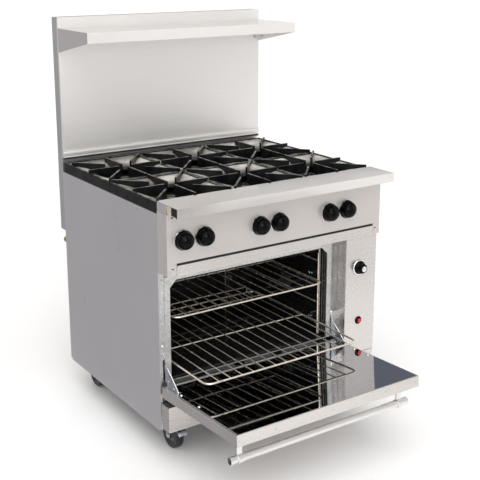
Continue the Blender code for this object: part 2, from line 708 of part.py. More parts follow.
def make_handle():
    y, z = HINGE_Y - HANDLE_REACH, HINGE_Z - HANDLE_DROP
    left, right = DOOR_LEFT + HANDLE_OVERHANG, DOOR_RIGHT - HANDLE_OVERHANG
    handle = cylinder("door_handle", ((left + right) / 2, y, z), HANDLE_RADIUS, right - left, "x", 20)
    foot_top = DOOR_OUTER - GAP
    brackets = []
    for x in (DOOR_LEFT + BRACKET_INSET, DOOR_RIGHT - BRACKET_INSET):
        brackets.append(door_box("arm", (x - 0.008, x + 0.008), (HANDLE_REACH - 0.007, HANDLE_REACH + 0.007),
                                 (-HANDLE_DROP, foot_top - 0.001)))
        brackets.append(door_box("foot", (x - 0.014, x + 0.014), (HANDLE_REACH - 0.024, HANDLE_REACH + 0.024),
                                 (foot_top - 0.004, foot_top)))
    return finish(join(handle, *brackets), "stainless", True)


def make_hinge_arm(name, x):
    """Pressed arm that stands on the liner and swings through a slot into the frame."""
    base = DOOR_INNER + GAP
    outline = [(-0.0520, base), (0.0120, base), (0.0310, 0.0960), (0.0260, 0.1060), (0.0160, 0.1040),
               (-0.0520, base + 0.0120)]
    outline = [(HINGE_Y + u, HINGE_Z + v) for u, v in outline]
    return finish(plate(name, outline, "x", x - 0.0015, x + 0.0015), "zinc")


# ---- Cooktop ----

def make_grate(name, x, y_front, y_rear, y_burner):
    """Cast frame with four long fingers along the axes and four short ones from the corners."""
    half = (BURNER_X[1] - BURNER_X[0]) / 2 - 0.0010
    bar = 0.0080
    frame_height = (GRATE_BOTTOM, GRATE_FRAME_TOP)
    grate = box(name, (x - half, x + half), (y_front, y_rear), frame_height)
    cut(grate, box("inside", (x - half + bar, x + half - bar), (y_front + bar, y_rear - bar), (0.8, 1.0)))
    reach = FRONT_BURNER_Y - GRATE_FRONT_Y - 0.0040
    fingers = []
    for quarter in range(4):
        angle = math.radians(quarter * 90)
        length = half - 0.0030 if quarter % 2 == 0 else reach
        fingers.append(make_finger(x, y_burner, angle, 0.0270, length))
    corner = math.atan2(reach - 0.0020, half - 0.0040)
    for sign_x in (1, -1):
        for sign_y in (1, -1):
            angle = math.atan2(sign_y * math.sin(corner), sign_x * math.cos(corner))
            fingers.append(make_finger(x, y_burner, angle, 0.0800, math.hypot(half, reach) - 0.0090))
    if y_rear - y_burner > reach + 0.0200:
        fingers.append(box("tail", (x - 0.0030, x + 0.0030), (y_burner + 0.0900, y_rear - 0.0040),
                           (GRATE_BOTTOM + 0.0020, GRATE_BOTTOM + 0.0220)))
    finish(join(grate, *fingers), "cast_iron")


def make_finger(x, y, angle, inner, outer):
    """A finger's side view: level top, and a belly that deepens towards the burner."""
    top, shallow, deep = GRATE_TOP, GRATE_TOP - 0.0180, GRATE_BOTTOM + 0.0040
    outline = [(inner + 0.0140, deep), (outer, shallow), (outer, top), (inner, top), (inner, deep + 0.0080)]
    finger = plate("finger", outline, "y", -0.0035, 0.0035)
    finger.matrix_world = (Matrix.Translation(place(x, y, 0)) @ Matrix.Rotation(angle, 4, "Z")
                           @ OUTLINE_TURNS["y"])
    return finger


def make_crumb_tray():
    height = (TRAY_LIP_BOTTOM + 0.0030, TRAY_LIP_TOP - 0.0030)
    pan = tray("crumb_tray", (TRAY_LEFT + 0.001, TRAY_RIGHT - 0.001), (0, TRAY_DEPTH), height, "+z")
    lip = box("lip", (TRAY_LEFT, TRAY_RIGHT), (-0.0008, 0.0010), (TRAY_LIP_BOTTOM, TRAY_LIP_TOP))
    hem = box("hem", (TRAY_LEFT, TRAY_RIGHT), (-0.0008, 0.0110), (TRAY_LIP_TOP - 0.0015, TRAY_LIP_TOP))
    finish(join(pan, lip, hem), "stainless")


def make_knob(number, x):
    """Turned knob with a skirt, a domed body and a grip across its face."""
    front = KNOB_LENGTH
    profile = [(0.0, front), (0.0190, front - 0.0010), (0.0280, front - 0.0090), (0.0305, 0.0070),
               (KNOB_RADIUS, 0.0050), (KNOB_RADIUS, 0.0), (0.0, 0.0)]
    knob = turned("knob_%d" % number, profile, (x, -0.0020, KNOB_Z), "y", 18)
    pointer = box("pointer", (x - 0.0030, x + 0.0030), (-0.0020 - front - 0.0020, -0.0120),
                  (KNOB_Z + 0.0040, KNOB_Z + 0.0325))
    finish(join(knob, pointer), "black_plastic", True)


# ---- Casters ----

def make_caster(number, x, y, direction):
    """Fork that swivels under the frame, and the wheel on its axle."""
    axle_y = y + direction * CASTER_TRAIL
    top = PAD_BOTTOM - GAP
    fork = cylinder("caster_fork_%d" % number, (x, y, top - 0.0050), 0.0300, 0.0100, "z", 16)
    near, far = y - direction * 0.0220, y + direction * 0.0240
    back, toe = axle_y - direction * 0.0110, axle_y + direction * 0.0110
    outline = [(near, top - 0.0010), (near, top - 0.0160), (back, WHEEL_RADIUS - 0.0110),
               (toe, WHEEL_RADIUS - 0.0110), (toe, WHEEL_RADIUS + 0.0120), (far, top - 0.0010)]
    legs = []
    for side in (-1, 1):
        inner, outer = x + side * 0.0185, x + side * 0.0210
        legs.append(plate("leg", outline, "x", *sorted((inner, outer))))
    crown = box("crown", (x - 0.0210, x + 0.0210), sorted((near, far)), (top - 0.0060, top - 0.0010))
    axle = cylinder("axle", (x, axle_y, WHEEL_RADIUS), AXLE_RADIUS, 0.0480, "x", 8)
    finish(join(fork, *legs, crown, axle), "zinc", True)
    swivel = empty("swivel_%d" % number, place(x, y, top))
    hang(fork, swivel)

    half, radius, bore = WHEEL_WIDTH / 2, WHEEL_RADIUS, AXLE_RADIUS + 0.0006
    profile = [(bore, half), (radius - 0.0040, half), (radius, half - 0.0050)]
    profile += [(r, -z) for r, z in reversed(profile)] + [(bore, half)]
    wheel = turned("caster_wheel_%d" % number, profile, (x, axle_y, WHEEL_RADIUS), "x", 24)
    finish(wheel, "rubber", True)
    hang(wheel, swivel)
    return swivel


def make_brake_lever(number, x, y, direction):
    """Pedal over the wheel's outer side, which presses on the tread."""
    reach = y + direction * (CASTER_TRAIL + WHEEL_RADIUS)
    heel = y + direction * 0.0245
    outline = [(heel, 0.1100), (reach - direction * 0.0060, 0.0960), (reach + direction * 0.0200, 0.0720),
               (reach + direction * 0.0215, 0.0740), (reach - direction * 0.0040, 0.0985), (heel, 0.1125)]
    lever = plate("brake_lever_%d" % number, outline, "x", x - 0.0165, x + 0.0165)
    return finish(lever, "zinc")


# ---- Assembly ----

def make_materials():
    for name, (colour, metallic, roughness) in FINISHES.items():
        material = bpy.data.materials.new(name)
        material.use_nodes = True
        shader = material.node_tree.nodes["Principled BSDF"]
        shader.inputs["Base Color"].default_value = (*colour, 1)
        shader.inputs["Metallic"].default_value = metallic
        shader.inputs["Roughness"].default_value = roughness


def make_range():
    make_materials()
    make_base_frame()
    make_side_panel("left_side_panel", -1)
    make_side_panel("right_side_panel", 1)
    make_rear_panel()
    make_kick_panel()
    make_oven_front_frame()
    make_service_column()
    make_valve_panel()
    make_landing_ledge()
    make_burner_box()
    make_riser()
    make_high_shelf()
    make_gas_manifold()
    make_oven_burner()
    make_thermostat()
    make_igniter()
    make_oven_liner()
    make_oven_floor()
    make_rack_guide("rack_guide_left", -1)
    make_rack_guide("rack_guide_right", 1)
    make_rack("lower_rack", LOWER_RACK_Y, LOWER_RACK_Z)
    make_rack("upper_rack", UPPER_RACK_Y, UPPER_RACK_Z)
    make_door(empty("door_hinge", place(0, HINGE_Y, HINGE_Z)))
    for side, x in zip(("left", "centre", "right"), BURNER_X):
        make_burner("burner_front_" + side, x, FRONT_BURNER_Y, FRONT_MIXER_Z)
        make_burner("burner_rear_" + side, x, REAR_BURNER_Y, REAR_MIXER_Z)
        make_grate("grate_front_" + side, x, GRATE_FRONT_Y, GRATE_SEAM_Y - 0.0015, FRONT_BURNER_Y)
        make_grate("grate_rear_" + side, x, GRATE_SEAM_Y + 0.0015, GRATE_REAR_Y, REAR_BURNER_Y)
    make_crumb_tray()
    for number, x in enumerate(knob_positions(), 1):
        make_knob(number, x)
    places = [(-CASTER_X, CASTER_FRONT_Y, -1), (CASTER_X, CASTER_FRONT_Y, -1),
              (-CASTER_X, CASTER_REAR_Y, 1), (CASTER_X, CASTER_REAR_Y, 1)]
    for number, (x, y, direction) in enumerate(places, 1):
        swivel = make_caster(number, x, y, direction)
        if direction < 0:
            hang(make_brake_lever(number, x, y, direction), swivel)


for leftover in list(bpy.data.objects):
    bpy.data.objects.remove(leftover)
parts = bpy.data.collections.new("gas_range")
bpy.context.scene.collection.children.link(parts)
make_range()
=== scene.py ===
"""Looks of the commercial gas range: materials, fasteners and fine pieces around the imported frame.

X runs to the right, the front faces -Y and Z is up, in metres.  at(x, depth, z) gives a point by
its depth behind the control panel's face, and in_door() turns a piece made in the door's own
frame, where -Y runs away from the hinge axis and Z is the liner's normal.
"""
import json
import math

import bmesh
import bpy
from mathutils import Matrix, Vector


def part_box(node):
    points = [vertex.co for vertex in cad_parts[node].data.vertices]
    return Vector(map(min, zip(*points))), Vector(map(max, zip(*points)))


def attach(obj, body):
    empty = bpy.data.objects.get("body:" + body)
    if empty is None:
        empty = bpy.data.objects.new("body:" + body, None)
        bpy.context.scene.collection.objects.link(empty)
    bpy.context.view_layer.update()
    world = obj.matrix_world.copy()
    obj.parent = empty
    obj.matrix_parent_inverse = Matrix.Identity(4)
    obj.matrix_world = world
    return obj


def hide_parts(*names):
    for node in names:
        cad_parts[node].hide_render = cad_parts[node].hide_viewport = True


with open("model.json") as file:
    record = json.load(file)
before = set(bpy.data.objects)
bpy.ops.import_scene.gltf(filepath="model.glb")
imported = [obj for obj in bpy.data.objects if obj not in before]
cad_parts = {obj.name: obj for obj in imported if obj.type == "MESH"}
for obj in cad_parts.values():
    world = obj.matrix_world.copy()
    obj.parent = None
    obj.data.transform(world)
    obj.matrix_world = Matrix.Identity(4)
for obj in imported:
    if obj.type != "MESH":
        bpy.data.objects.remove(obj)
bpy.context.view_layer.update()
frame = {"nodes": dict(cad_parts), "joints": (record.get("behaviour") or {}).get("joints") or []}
NODES = frame["nodes"]
JOINTS = {joint["name"]: joint for joint in frame["joints"]}

# ---- Places taken from the frame ----
PANEL_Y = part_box("valve_panel")[0].y
LEFT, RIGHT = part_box("valve_panel")[0].x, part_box("valve_panel")[1].x
DOOR_TILT = math.radians(2.6)
HINGE = Vector(JOINTS["door_hinge"]["pos_m"])
DOOR_LEFT, DOOR_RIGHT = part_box("door_outer_shell")[0].x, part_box("door_outer_shell")[1].x
DOOR_REACH = 0.4270
DOOR_INNER = 0.0300
OVEN_LO, OVEN_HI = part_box("oven_liner")
BURNER_X = (-0.3048, 0.0, 0.3048)
BURNER_Y = {"front": 0.2325, "rear": 0.5750}
KNOBS = {"knob_%d" % n: Vector(JOINTS["knob_%d_turn" % n]["pos_m"]) for n in range(1, 7)}
CASTERS = {n: Vector(JOINTS["wheel_%d_spin" % n]["pos_m"]) for n in range(1, 5)}
SWIVELS = {n: Vector(JOINTS["caster_%d_swivel" % n]["pos_m"]) for n in range(1, 5)}
TURN_X = Matrix.Rotation(math.radians(90), 4, "Y")
TURN_Y = Matrix.Rotation(math.radians(90), 4, "X")      # a profile's +Z faces the front
UPRIGHT = Matrix.Identity(4)
HINGE_ARMS = (DOOR_LEFT + 0.0140, DOOR_RIGHT - 0.0140)


def at(x, depth, z):
    return Vector((x, depth + PANEL_Y, z))


def turned_to_front(point):
    return Matrix.Translation(point) @ TURN_Y


def in_door():
    return Matrix.Translation(Vector((0, HINGE.y, HINGE.z))) @ Matrix.Rotation(-DOOR_TILT, 4, "X")


# ---- Materials ----

LOOKS = {}


class Look:
    """A node material under construction."""

    def __init__(self, name, colour, metallic, roughness, **sockets):
        self.material = bpy.data.materials.new(name)
        self.material.use_nodes = True
        self.tree = self.material.node_tree
        self.shader = self.tree.nodes["Principled BSDF"]
        self.name = name
        self.colour = colour
        self.set(self.shader, "Base Color", (*colour, 1))
        self.set(self.shader, "Metallic", metallic)
        self.set(self.shader, "Roughness", roughness)
        for socket, value in sockets.items():
            self.set(self.shader, socket.replace("_", " "), value)
        self.heights = []

    @staticmethod
    def set(node, socket, value):
        node.inputs[socket].default_value = value

    def add(self, kind, **values):
        node = self.tree.nodes.new("ShaderNode" + kind)
        for key, value in values.items():
            setattr(node, key, value)
        return node

    def link(self, source, target):
        self.tree.links.new(source, target)

    def where(self, scale=(1, 1, 1)):
        """Object coordinates, which are metres in the frame, stretched by a scale."""
        mapping = self.add("Mapping")
        self.set(mapping, "Scale", scale)
        self.link(self.add("TexCoord").outputs["Object"], mapping.inputs["Vector"])
        return mapping.outputs["Vector"]

    def noise(self, scale, detail=3.0, stretch=(1, 1, 1), rough=0.5):
        node = self.add("TexNoise")
        self.set(node, "Scale", scale)
        self.set(node, "Detail", detail)
        self.set(node, "Roughness", rough)
        self.link(self.where(stretch), node.inputs["Vector"])
        return node.outputs["Fac"]

    def cells(self, scale, stretch=(1, 1, 1), feature="F1"):
        node = self.add("TexVoronoi", feature=feature)
        self.set(node, "Scale", scale)
        self.link(self.where(stretch), node.inputs["Vector"])
        return node

    def ramp(self, factor, low, high, start=0.0, end=1.0):
        """Map a factor from start..end to low..high, clamped."""
        node = self.add("MapRange")
        for socket, value in (("From Min", start), ("From Max", end), ("To Min", low), ("To Max", high)):
            self.set(node, socket, value)
        self.link(factor, node.inputs["Value"])
        return node.outputs["Result"]

    def mix(self, factor, first, second):
        """Blend two colours; either can be a socket or a tuple."""
        node = self.add("Mix", data_type="RGBA")
        self.link(factor, node.inputs[0])
        for socket, value in ((node.inputs[6], first), (node.inputs[7], second)):
            if isinstance(value, tuple):
                socket.default_value = (*value, 1)
            else:
                self.link(value, socket)
        return node.outputs[2]

    def maths(self, operation, first, second):
        node = self.add("Math", operation=operation)
        for socket, value in zip(node.inputs, (first, second)):
            if isinstance(value, (int, float)):
                socket.default_value = value
            else:
                self.link(value, socket)
        return node.outputs[0]

    def tint(self, factor, low, high, start=0.3, end=0.7):
        """Colour from low to high times the base colour."""
        dark = tuple(min(1.0, c * low) for c in self.colour)
        light = tuple(min(1.0, c * high) for c in self.colour)
        self.paint(self.mix(self.ramp(factor, 0, 1, start, end), dark, light))

    def paint(self, colour):
        self.link(colour, self.shader.inputs["Base Color"])

    def rough(self, value):
        self.link(value, self.shader.inputs["Roughness"])

    def bump(self, height, strength, distance):
        self.heights.append((height, strength, distance))

    def up(self):
        """1 on faces that look up, 0 on upright ones."""
        split = self.add("SeparateXYZ")
        self.link(self.add("NewGeometry").outputs["True Normal"], split.inputs[0])
        return split.outputs[2]

    def height(self):
        """Height above the floor, in metres."""
        split = self.add("SeparateXYZ")
        self.link(self.where(), split.inputs[0])
        return split.outputs[2]

    def done(self):
        previous = None
        for height, strength, distance in self.heights:
            node = self.add("Bump")
            self.set(node, "Strength", strength)
            self.set(node, "Distance", distance)
            self.link(height, node.inputs["Height"])
            if previous:
                self.link(previous.outputs["Normal"], node.inputs["Normal"])
            previous = node
        if previous:
            self.link(previous.outputs["Normal"], self.shader.inputs["Normal"])
        LOOKS[self.name] = self.material
        return self.material


def sheet_steel(name, colour, roughness, along, grain=1.0, waves=1.0, metallic=0.92):
    """Brushed stainless: grain lines along one axis, faint smudges and slow waves in the sheet."""
    look = Look(name, colour, metallic, roughness)
    stretch = tuple(3.0 if axis == along else 260.0 for axis in "xyz")
    lines = look.noise(1.0, 2.0, stretch, 0.6)
    smudges = look.noise(4.5, 4.0, (1, 1, 1), 0.55)
    look.tint(look.maths("ADD", look.maths("MULTIPLY", lines, 0.55), look.maths("MULTIPLY", smudges, 0.45)),
              0.975, 1.02)
    spread = look.maths("ADD", look.ramp(lines, -0.035, 0.035, 0.25, 0.75),
                        look.ramp(smudges, -0.03, 0.045, 0.3, 0.7))
    look.rough(look.maths("ADD", spread, roughness))
    look.bump(lines, 0.025 * grain, 0.0002)
    look.bump(look.noise(1.7, 0.5), 0.02 * waves, 0.02)
    look.done()


def mottled(name, colour, metallic, roughness, cloud, tones, shine, grain=None, **sockets):
    """Cloudy tone and gloss; grain is the bump's noise scale and detail, its strength and distance."""
    look = Look(name, colour, metallic, roughness, **sockets)
    fog = look.noise(*cloud)
    look.tint(fog, *tones)
    look.rough(look.ramp(fog, *shine, 0.35, 0.7))
    if grain:
        look.bump(look.noise(*grain[:2]), *grain[2:])
    look.done()


def make_materials():
    sheet_steel("front_steel", (0.70, 0.665, 0.645), 0.27, "x")
    # Painted shade: the control panel's steel is a darker copy of the front steel, standing for the shade
    # under the ledge's overhang.
    sheet_steel("panel_steel_shaded", (0.60, 0.562, 0.545), 0.34, "x", 0.5, 0.5, 0.60)
    sheet_steel("flat_steel", (0.80, 0.775, 0.76), 0.13, "x", 0.5, 0.5)
    sheet_steel("side_steel", (0.78, 0.76, 0.78), 0.32, "z", 0.4, 0.4)
    sheet_steel("riser_steel", (0.80, 0.785, 0.77), 0.40, "x", 0.5, 0.3, 0.72)
    sheet_steel("back_steel", (0.66, 0.66, 0.66), 0.34, "x")
    sheet_steel("tube_steel", (0.82, 0.81, 0.80), 0.10, "x", 0.4, 0.2)

    look = Look("mirror_steel", (0.70, 0.715, 0.74), 1.0, 0.045)
    haze = look.noise(3.0, 5.0, (1, 1, 1), 0.6)
    scuffs = look.noise(1.0, 3.0, (6, 90, 90), 0.6)
    look.tint(haze, 0.95, 1.02)
    look.rough(look.maths("ADD", look.ramp(haze, 0.018, 0.045, 0.35, 0.7),
                          look.ramp(scuffs, 0, 0.012, 0.5, 0.8)))
    look.bump(look.noise(3.2, 1.0), 0.025, 0.02)
    look.done()

    look = Look("galvanised", (0.62, 0.62, 0.612), 1.0, 0.38)
    spangle = look.cells(170)
    tone = look.add("SeparateColor")
    look.link(spangle.outputs["Color"], tone.inputs[0])
    look.tint(look.maths("ADD", look.maths("MULTIPLY", tone.outputs[0], 0.5),
                         look.maths("MULTIPLY", look.noise(14, 4.0), 0.5)), 0.86, 1.08)
    look.rough(look.ramp(tone.outputs[0], 0.30, 0.46))
    look.bump(look.noise(520, 3.0), 0.05, 0.0003)
    look.done()

    look = Look("cast_iron", (0.030, 0.031, 0.031), 0.0, 0.30, Specular_IOR_Level=0.14)
    grain = look.noise(420, 4.0, (1, 1, 1), 0.6)
    dust_and_sheen = look.noise(26, 4.0)
    # Painted highlight and wear: faces that look up get a light grey where the noise allows, for worn tops
    # and for the sheen of light on them.
    wear_and_sheen_tops = look.maths("MULTIPLY", look.ramp(look.up(), 0, 1, 0.8, 0.98), look.ramp(dust_and_sheen, 0.0, 0.6, 0.4, 0.75))
    body = look.mix(look.ramp(dust_and_sheen, 0, 1, 0.35, 0.75), (0.003, 0.0035, 0.005), (0.014, 0.016, 0.014))
    look.paint(look.mix(wear_and_sheen_tops, body, (0.52, 0.51, 0.48)))
    look.rough(look.ramp(grain, 0.24, 0.38, 0.3, 0.7))
    look.bump(grain, 0.22, 0.0006)
    look.done()

    look = Look("bowl_iron", (0.66, 0.64, 0.58), 0.35, 0.26)
    grain = look.noise(300, 4.0)
    rings = look.noise(9, 3.0)
    cloud = look.maths("ADD", look.maths("MULTIPLY", grain, 0.25), look.maths("MULTIPLY", rings, 0.75))
    upper_bowl_tone = look.mix(look.ramp(cloud, 0, 1, 0.38, 0.60), (0.25, 0.24, 0.22), (0.84, 0.81, 0.74))
    # Darker towards the opening: near black below 0.901 m, fading into the cloudy tone by 0.912 m.
    look.paint(look.mix(look.ramp(look.height(), 0, 1, 0.9010, 0.9120), (0.012, 0.012, 0.012), upper_bowl_tone))
    look.rough(look.ramp(rings, 0.18, 0.34, 0.3, 0.7))
    look.bump(grain, 0.12, 0.0005)
    look.done()

    look = Look("enamel", (0.010, 0.010, 0.011), 0.0, 0.09, Coat_Weight=0.35, Coat_Roughness=0.05)
    flecks = look.cells(900)
    speck = look.ramp(flecks.outputs["Distance"], 1.0, 0.0, 0.04, 0.12)
    look.paint(look.mix(speck, (0.009, 0.009, 0.010), (0.085, 0.083, 0.080)))
    look.rough(look.ramp(look.noise(7, 4.0), 0.06, 0.16, 0.35, 0.7))
    look.bump(look.noise(60, 2.0), 0.05, 0.001)
    look.done()

    look = Look("rack_wire", (0.88, 0.81, 0.70), 0.72, 0.22)
    above = look.mix(look.ramp(look.noise(30, 4.0), 0, 1, 0.35, 0.7), (0.74, 0.68, 0.58), (0.92, 0.85, 0.74))
    # Painted shade: faces that look down are painted near black, and faces that look up keep the lit tone
    # above.
    look.paint(look.mix(look.ramp(look.up(), 0, 1, -0.7, 0.2), (0.05, 0.045, 0.04), above))
    look.rough(look.ramp(look.noise(50, 3.0), 0.16, 0.30, 0.35, 0.7))
    look.done()

    look = Look("channel_steel", (0.34, 0.33, 0.325), 0.9, 0.36)
    dents = look.noise(60, 4.0, (1, 1, 0.3))
    look.tint(dents, 0.75, 1.25)
    look.rough(look.ramp(dents, 0.28, 0.44, 0.35, 0.7))
    look.bump(dents, 0.15, 0.001)
    look.done()

    look = Look("rubber", (0.012, 0.012, 0.013), 0.0, 0.42)
    cloud = look.noise(35, 4.0)
    look.paint(look.mix(look.ramp(cloud, 0, 1, 0.35, 0.75), (0.008, 0.008, 0.009), (0.028, 0.028, 0.030)))
    look.rough(look.ramp(cloud, 0.32, 0.52, 0.35, 0.7))
    look.bump(look.noise(500, 3.0), 0.12, 0.0004)
    look.done()

    # Painted shade: flat black blocks of this look stand in for the shade inside gaps, seams, holes, slots
    # and hollows.
    look = Look("painted_shade_black", (0.006, 0.006, 0.006), 0.0, 0.85)
    look.tint(look.noise(30, 2.0), 0.7, 1.3)
    look.done()

    look = Look("board", (0.50, 0.43, 0.33), 0.0, 0.75)
    fibres = look.noise(60, 4.0, (1, 3, 1))
    look.tint(fibres, 0.75, 1.15)
    look.bump(fibres, 0.2, 0.0008)
    look.done()

    mottled("chrome", (0.90, 0.83, 0.72), 0.72, 0.22, (30, 4.0), (0.86, 1.05), (0.16, 0.32),
            (400, 2.0, 0.06, 0.0003))
    mottled("black_zinc", (0.030, 0.032, 0.036), 0.7, 0.36, (45, 4.0), (0.6, 1.6), (0.28, 0.46))
    mottled("sooty_steel", (0.075, 0.075, 0.075), 0.75, 0.42, (16, 5.0), (0.4, 1.8), (0.32, 0.55))
    mottled("bright_chrome", (0.88, 0.88, 0.88), 1.0, 0.07, (60, 3.0), (0.93, 1.02), (0.05, 0.11))
    mottled("zinc", (0.52, 0.56, 0.60), 1.0, 0.30, (45, 4.0), (0.82, 1.08), (0.24, 0.42),
            (700, 2.0, 0.08, 0.0003))
    mottled("mild_steel", (0.20, 0.20, 0.205), 0.9, 0.48, (18, 5.0), (0.7, 1.2), (0.40, 0.60),
            (260, 3.0, 0.15, 0.0005))
    mottled("brass", (0.62, 0.46, 0.20), 1.0, 0.28, (40, 4.0), (0.75, 1.08), (0.22, 0.42))
    mottled("black_plastic", (0.0022, 0.0022, 0.0022), 0.0, 0.08, (90, 3.0), (0.7, 1.4), (0.07, 0.14),
            (220, 2.0, 0.03, 0.0003), Specular_IOR_Level=0.09)
    mottled("red_plastic", (0.62, 0.010, 0.040), 0.0, 0.14, (150, 3.0), (0.8, 1.1), (0.10, 0.20),
            Coat_Weight=0.5, Coat_Roughness=0.05)


make_materials()
NODE_LOOKS = {
    "front_steel": ("kick_panel", "service_column", "crumb_tray", "door_outer_shell"),
    "panel_steel_shaded": ("valve_panel",),
    "flat_steel": ("landing_ledge", "high_shelf"),
    "side_steel": ("left_side_panel", "right_side_panel"),
    "riser_steel": ("riser_front_panel",),
    "back_steel": ("riser_flue_box", "rear_shield"),
    "mirror_steel": ("door_liner",),
    "galvanised": ("oven_front_frame", "rear_panel"),
    "sooty_steel": ("burner_box",),
    "enamel": ("oven_liner", "oven_floor"),
    "chrome": ("rack_guide_left", "rack_guide_right"),
    "mild_steel": ("base_frame", "thermostat_body"),
    "cast_iron": ("oven_burner",),
    "brass": ("gas_manifold",),
    "zinc": ("hinge_arm_left", "hinge_arm_right"),
}


def soften(node, width, degrees):
    """Bevel the edges sharper than an angle."""
    if width:
        edge = node.modifiers.new("edge", "BEVEL")
        edge.width = width
        edge.segments = 2
        edge.limit_method = "ANGLE"
        edge.angle_limit = math.radians(degrees)


def dress(node, look, bevel=0.0):
    """Give a CAD node its material, and soften its sheared edges."""
    node.data.materials.clear()
    node.data.materials.append(LOOKS[look])
    soften(node, bevel, 50)


# ---- Mesh helpers ----

def circle(count):
    """Cosine and sine at equal steps round a circle."""
    angles = [2 * math.pi * step / count for step in range(count)]
    return [(math.cos(angle), math.sin(angle)) for angle in angles]


def skin(shape, rings):
    """Join rings of vertices with faces; a ring of one vertex is a tip."""
    for first, second in zip(rings, rings[1:]):
        for step in range(max(len(ring) for ring in rings)):
            following = step + 1
            corners = [first[step % len(first)], first[following % len(first)],
                       second[following % len(second)], second[step % len(second)]]
            shape.faces.new(list(dict.fromkeys(corners)))


def sweep(shape, points, radius, sides=10, closed=False):
    """Add a round rod along points to a bmesh."""
    count = len(points)
    rings = []
    normal = None
    for index, point in enumerate(points):
        before = points[index - 1] if closed or index else point
        after = points[(index + 1) % count] if closed or index < count - 1 else point
        tangent = (after - before).normalized()
        if normal is None:
            normal = tangent.orthogonal().normalized()
        normal = (normal - tangent * normal.dot(tangent)).normalized()
        side = tangent.cross(normal)
        rings.append([shape.verts.new(point + radius * (u * normal + v * side)) for u, v in circle(sides)])
    skin(shape, rings + rings[:1] if closed else rings)
    if not closed:
        shape.faces.new(list(reversed(rings[0])))
        shape.faces.new(rings[-1])


def fillet(points, radius, steps=5, closed=False):
    """Round the corners of a path."""
    count = len(points)
    path = []
    for index, point in enumerate(points):
        if not closed and index in (0, count - 1):
            path.append(point)
            continue
        before, after = points[index - 1], points[(index + 1) % count]
        reach = min(radius, (before - point).length * 0.49, (after - point).length * 0.49)
        start = point + (before - point).normalized() * reach
        end = point + (after - point).normalized() * reach
        for step in range(steps + 1):
            t = step / steps
            path.append(start * (1 - t) ** 2 + point * 2 * t * (1 - t) + end * t * t)
    return path


def lathe(shape, profile, matrix, sides=32):
    """Add a turned form to a bmesh from (radius, height) points; ends on the axis are closed."""
    rings = []
    for radius, height in profile:
        if radius < 1e-6:
            rings.append([shape.verts.new(matrix @ Vector((0, 0, height)))])
            continue
        rings.append([shape.verts.new(matrix @ Vector((radius * u, radius * v, height)))
                      for u, v in circle(sides)])
    skin(shape, rings)


def slab(shape, outline, low, high, matrix=UPRIGHT):
    """Add a prism to a bmesh: an outline in X and Y, from low to high in Z."""
    bottom = [shape.verts.new(matrix @ Vector((u, v, low))) for u, v in outline]
    top = [shape.verts.new(matrix @ Vector((u, v, high))) for u, v in outline]
    shape.faces.new(list(reversed(bottom)))
    shape.faces.new(top)
    skin(shape, [bottom, top])


def block(shape, low, high, matrix=UPRIGHT):
    """Add a box between two corners to a bmesh."""
    slab(shape, [(low[0], low[1]), (high[0], low[1]), (high[0], high[1]), (low[0], high[1])],
         low[2], high[2], matrix)


def piece(name, body, look, build, bevel=0.0, replaces=()):
    """Make a piece from a function that fills a bmesh, and let it ride on a CAD body."""
    shape = bmesh.new()
    build(shape)
    bmesh.ops.recalc_face_normals(shape, faces=shape.faces)
    mesh = bpy.data.meshes.new(name)
    shape.to_mesh(mesh)
    shape.free()
    node = bpy.data.objects.new(name, mesh)
    bpy.context.scene.collection.objects.link(node)
    mesh.materials.append(LOOKS[look])
    mesh.shade_smooth()
    mesh.set_sharp_from_angle(angle=math.radians(38))
    soften(node, bevel, 40)
    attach(node, body)
    if replaces:
        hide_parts(*replaces)


def facing(axis):
    """Turns a lathe's +Z to the front (-y), up (z), to the left (-x) or right (x)."""
    return {"-y": TURN_Y, "z": UPRIGHT, "x": TURN_X,
            "-x": Matrix.Rotation(math.radians(-90), 4, "Y"),
            "y": Matrix.Rotation(math.radians(-90), 4, "X")}[axis]


def dome_screw(shape, centre, axis, radius=0.0045, height=0.0022, sides=20):
    """Dome head on a thin washer, with a small round recess."""
    profile = [(0.0, height * 0.62), (radius * 0.20, height * 0.62), (radius * 0.26, height),
               (radius * 0.62, height * 0.86), (radius * 0.9, height * 0.45), (radius, height * 0.12),
               (radius * 1.25, height * 0.10), (radius * 1.28, -0.0002), (0.0, -0.0002)]
    lathe(shape, profile, Matrix.Translation(centre) @ facing(axis), sides)


def rivet(shape, centre, axis, radius=0.0028, height=0.0012, sides=16):
    profile = [(0.0, height), (radius * 0.5, height * 0.9), (radius * 0.85, height * 0.5), (radius, 0.0001),
               (radius, -0.0002), (0.0, -0.0002)]
    lathe(shape, profile, Matrix.Translation(centre) @ facing(axis), sides)


# ---- Casings ----

def dress_nodes():
    bevels = {"landing_ledge": 0.0007, "high_shelf": 0.0007, "valve_panel": 0.0006, "kick_panel": 0.0006,
              "service_column": 0.0006, "crumb_tray": 0.0004, "door_outer_shell": 0.0006,
              "riser_front_panel": 0.0006, "hinge_arm_left": 0.0007, "hinge_arm_right": 0.0007}
    for look, names in NODE_LOOKS.items():
        for name in names:
            dress(NODES[name], look, bevels.get(name, 0.0))
    for name, node in NODES.items():
        if name.startswith("caster_fork"):
            dress(node, "black_zinc", 0.0005)
        elif name.startswith("grate"):
            dress(node, "cast_iron", 0.0012)
        elif name.startswith("igniter"):
            dress(node, "black_plastic" if name.endswith("body") else "red_plastic")


